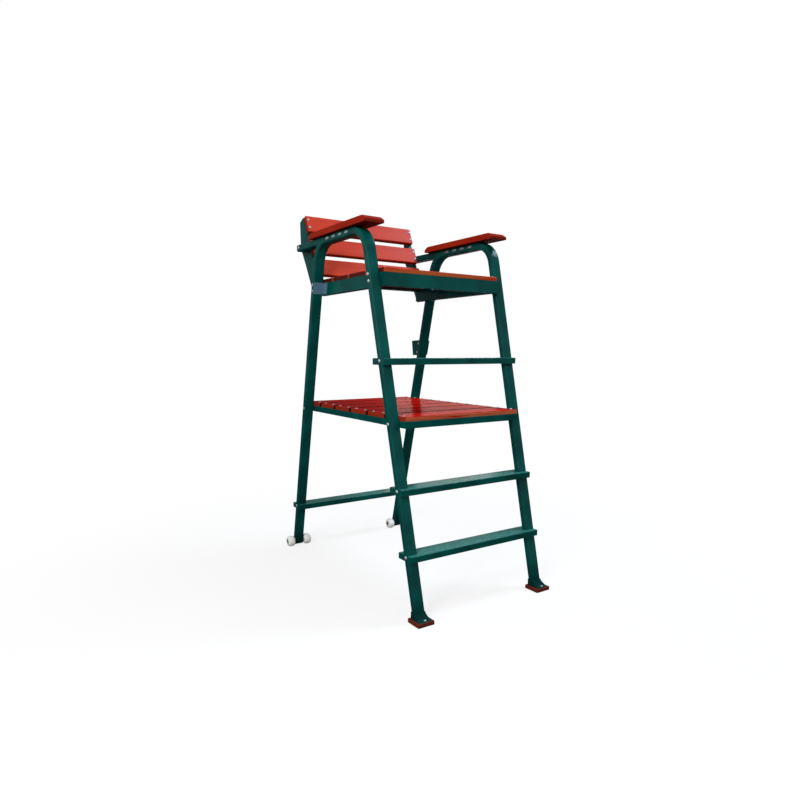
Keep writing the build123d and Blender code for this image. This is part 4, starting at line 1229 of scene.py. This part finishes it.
@dataclass
class Backdrop:
    """White room and a pale floor that fades into it and keeps the chair's shadow."""

    floor_size: float = 60.0
    ambient: float = 0.37
    shadow_core: float = 0.6
    shadow_reach: float = 2.6
    veil: float = 0.8
    lit: str = "#8C8C8C"
    seen: str = "#FDFDFD"

    def room(self) -> None:
        """White all round for the eye, reflections and glass, and softer as a light."""
        world = bpy.data.worlds.new("white_room")
        bpy.context.scene.world = world
        world.use_nodes = True
        tree = world.node_tree
        rays = add_node(tree, "LightPath").outputs
        links = {0: rays["Is Camera Ray"], 1: rays["Is Glossy Ray"]}
        straight = add_node(tree, "Math", links, operation="MAXIMUM")
        links = {0: straight, 1: rays["Is Transmission Ray"]}
        shown = add_node(tree, "Math", links, operation="MAXIMUM")
        strength = add_node(tree, "MapRange", {"Value": shown}, To_Min=self.ambient)
        white = (1.0, 1.0, 1.0, 1.0)
        wire(tree, tree.nodes["Background"], {"Strength": strength}, Color=white)

    def floor(self) -> None:
        """Plane whose own grey fades to pure white away from the chair."""
        deselect()
        bpy.ops.mesh.primitive_plane_add(size=self.floor_size)
        plane = bpy.context.object
        plane.name = "studio_floor"
        material = bpy.data.materials.new("painted studio floor")
        material.use_nodes = True
        tree = material.node_tree
        shader = tree.nodes["Principled BSDF"]
        place = add_node(tree, "TexCoord").outputs["Object"]
        distance = add_node(tree, "VectorMath", {0: place}, operation="LENGTH")
        fade = add_node(
            tree, "MapRange", {"Value": distance}, interpolation_type="SMOOTHSTEP",
            From_Min=self.shadow_core, From_Max=self.shadow_reach, To_Min=self.veil,
        )
        eye = add_node(tree, "LightPath").outputs["Is Camera Ray"]
        tone = add_node(
            tree, "Mix", {"Factor": eye}, data_type="RGBA", in_6=self.lit, in_7=self.seen
        )
        wire(tree, shader, {"Base Color": tone}, Roughness=0.9, Specular_IOR_Level=0.0)
        white = add_node(tree, "Math", {0: fade, 1: eye}, operation="MULTIPLY")
        glow = add_node(tree, "Emission")
        blend = add_node(tree, "MixShader", {0: white, 1: shader, 2: glow})
        wire(tree, tree.nodes["Material Output"], {"Surface": blend})
        dress(plane, material)

    def build(self) -> None:
        """Make the room and the floor."""
        self.room()
        self.floor()


LAMPS = (
    SoftLamp("key", (-2.8, -1.9, 2.8), (-0.1, -0.1, 1.3), (1.0, 1.4), 74.0),
    SoftLamp("top", (2.5, -0.7, 4.3), (0.2, -0.3, 1.5), (1.3, 1.1), 155.0, tint="#D4E8FF"),
    SoftLamp("edge", (-3.4, -2.2, 1.1), (-0.37, -0.5, 1.0), (0.2, 1.2), 25.0),
    SoftLamp("window", (4.9, 6.2, 1.7), (0.1, -0.2, 0.9), (2.0, 0.7), 70.0, tint="#FFF0E6"),
)


# --- The chair ---


def sided(*names: str) -> list[str]:
    """Node names with both sides of the chair filled in."""
    return [f"{name}_{side.label}" for name in names for side in Side]


def numbered(name: str, count: int) -> list[str]:
    """Node names of a run of slats."""
    return [f"{name}_{number}" for number in range(1, count + 1)]


def main() -> None:
    """Dress the chair, one sub-assembly after another, then light it."""
    logging.basicConfig(level=logging.INFO, format="%(name)s: %(message)s")
    StudioCamera().build()
    palette = Palette()
    palette.mix()
    groups = [
        SideFrames("Side frames", sided("side_frame", "arm_tail") + ["arm_tail_plugs"]),
        SubAssembly("Armrests", sided("armrest") + ["armrest_screws"]),
        SubAssembly("Treads", ["lower_step", "middle_step", "footrest", "rear_crossbar"]),
        RailRing(
            "Deck rails", sided("deck_side_rail") + ["deck_front_rail", "deck_rear_rail"],
            half_width_mm=343.6, rail_mm=32.0, front_y_mm=-504.8, rear_y_mm=539.7, under_z_mm=867.8,
        ),
        SubAssembly("Deck slats", numbered("deck_slat", 6) + ["deck_screws"]),
        RailRing(
            "Seat rails", sided("seat_side_rail", "seat_cleat") + ["seat_front_rail"]
            + ["seat_rear_bar", "seat_rail_plugs", "seat_spacers", "seat_under_bolt"],
            half_width_mm=339.6, rail_mm=40.0, front_y_mm=-321.0, rear_y_mm=0.0, under_z_mm=1495.0,
            mitres=("front",),
        ),
        SubAssembly("Seat slats", numbered("seat_slat", 4) + ["seat_screws"]),
        SubAssembly(
            "Back", sided("back_plate")
            + ["back_slat_top", "back_slat_middle", "back_slat_bottom", "back_bolts"],
        ),
        Feet("Front feet", sided("foot_pad", "foot_collar") + ["foot_bolts"]),
        Rollers(
            "Rollers", [f"{leg}_{place}" for leg in sided("roller") for place in ("outer", "inner")]
        ),
        SubAssembly("Axles", sided("wheel_axle") + ["axle_washers", "axle_caps"]),
        PoleBracket("Pole bracket", ["umbrella_socket", "bracket_bolts"]),
        SubAssembly("Frame bolts", sided("frame_bolts")),
    ]
    for group in groups:
        group.finish(palette)
    Backdrop().build()
    for lamp in LAMPS:
        lamp.build()
    bpy.context.scene.view_settings.view_transform = "Standard"


if __name__ == "__main__":
    main()
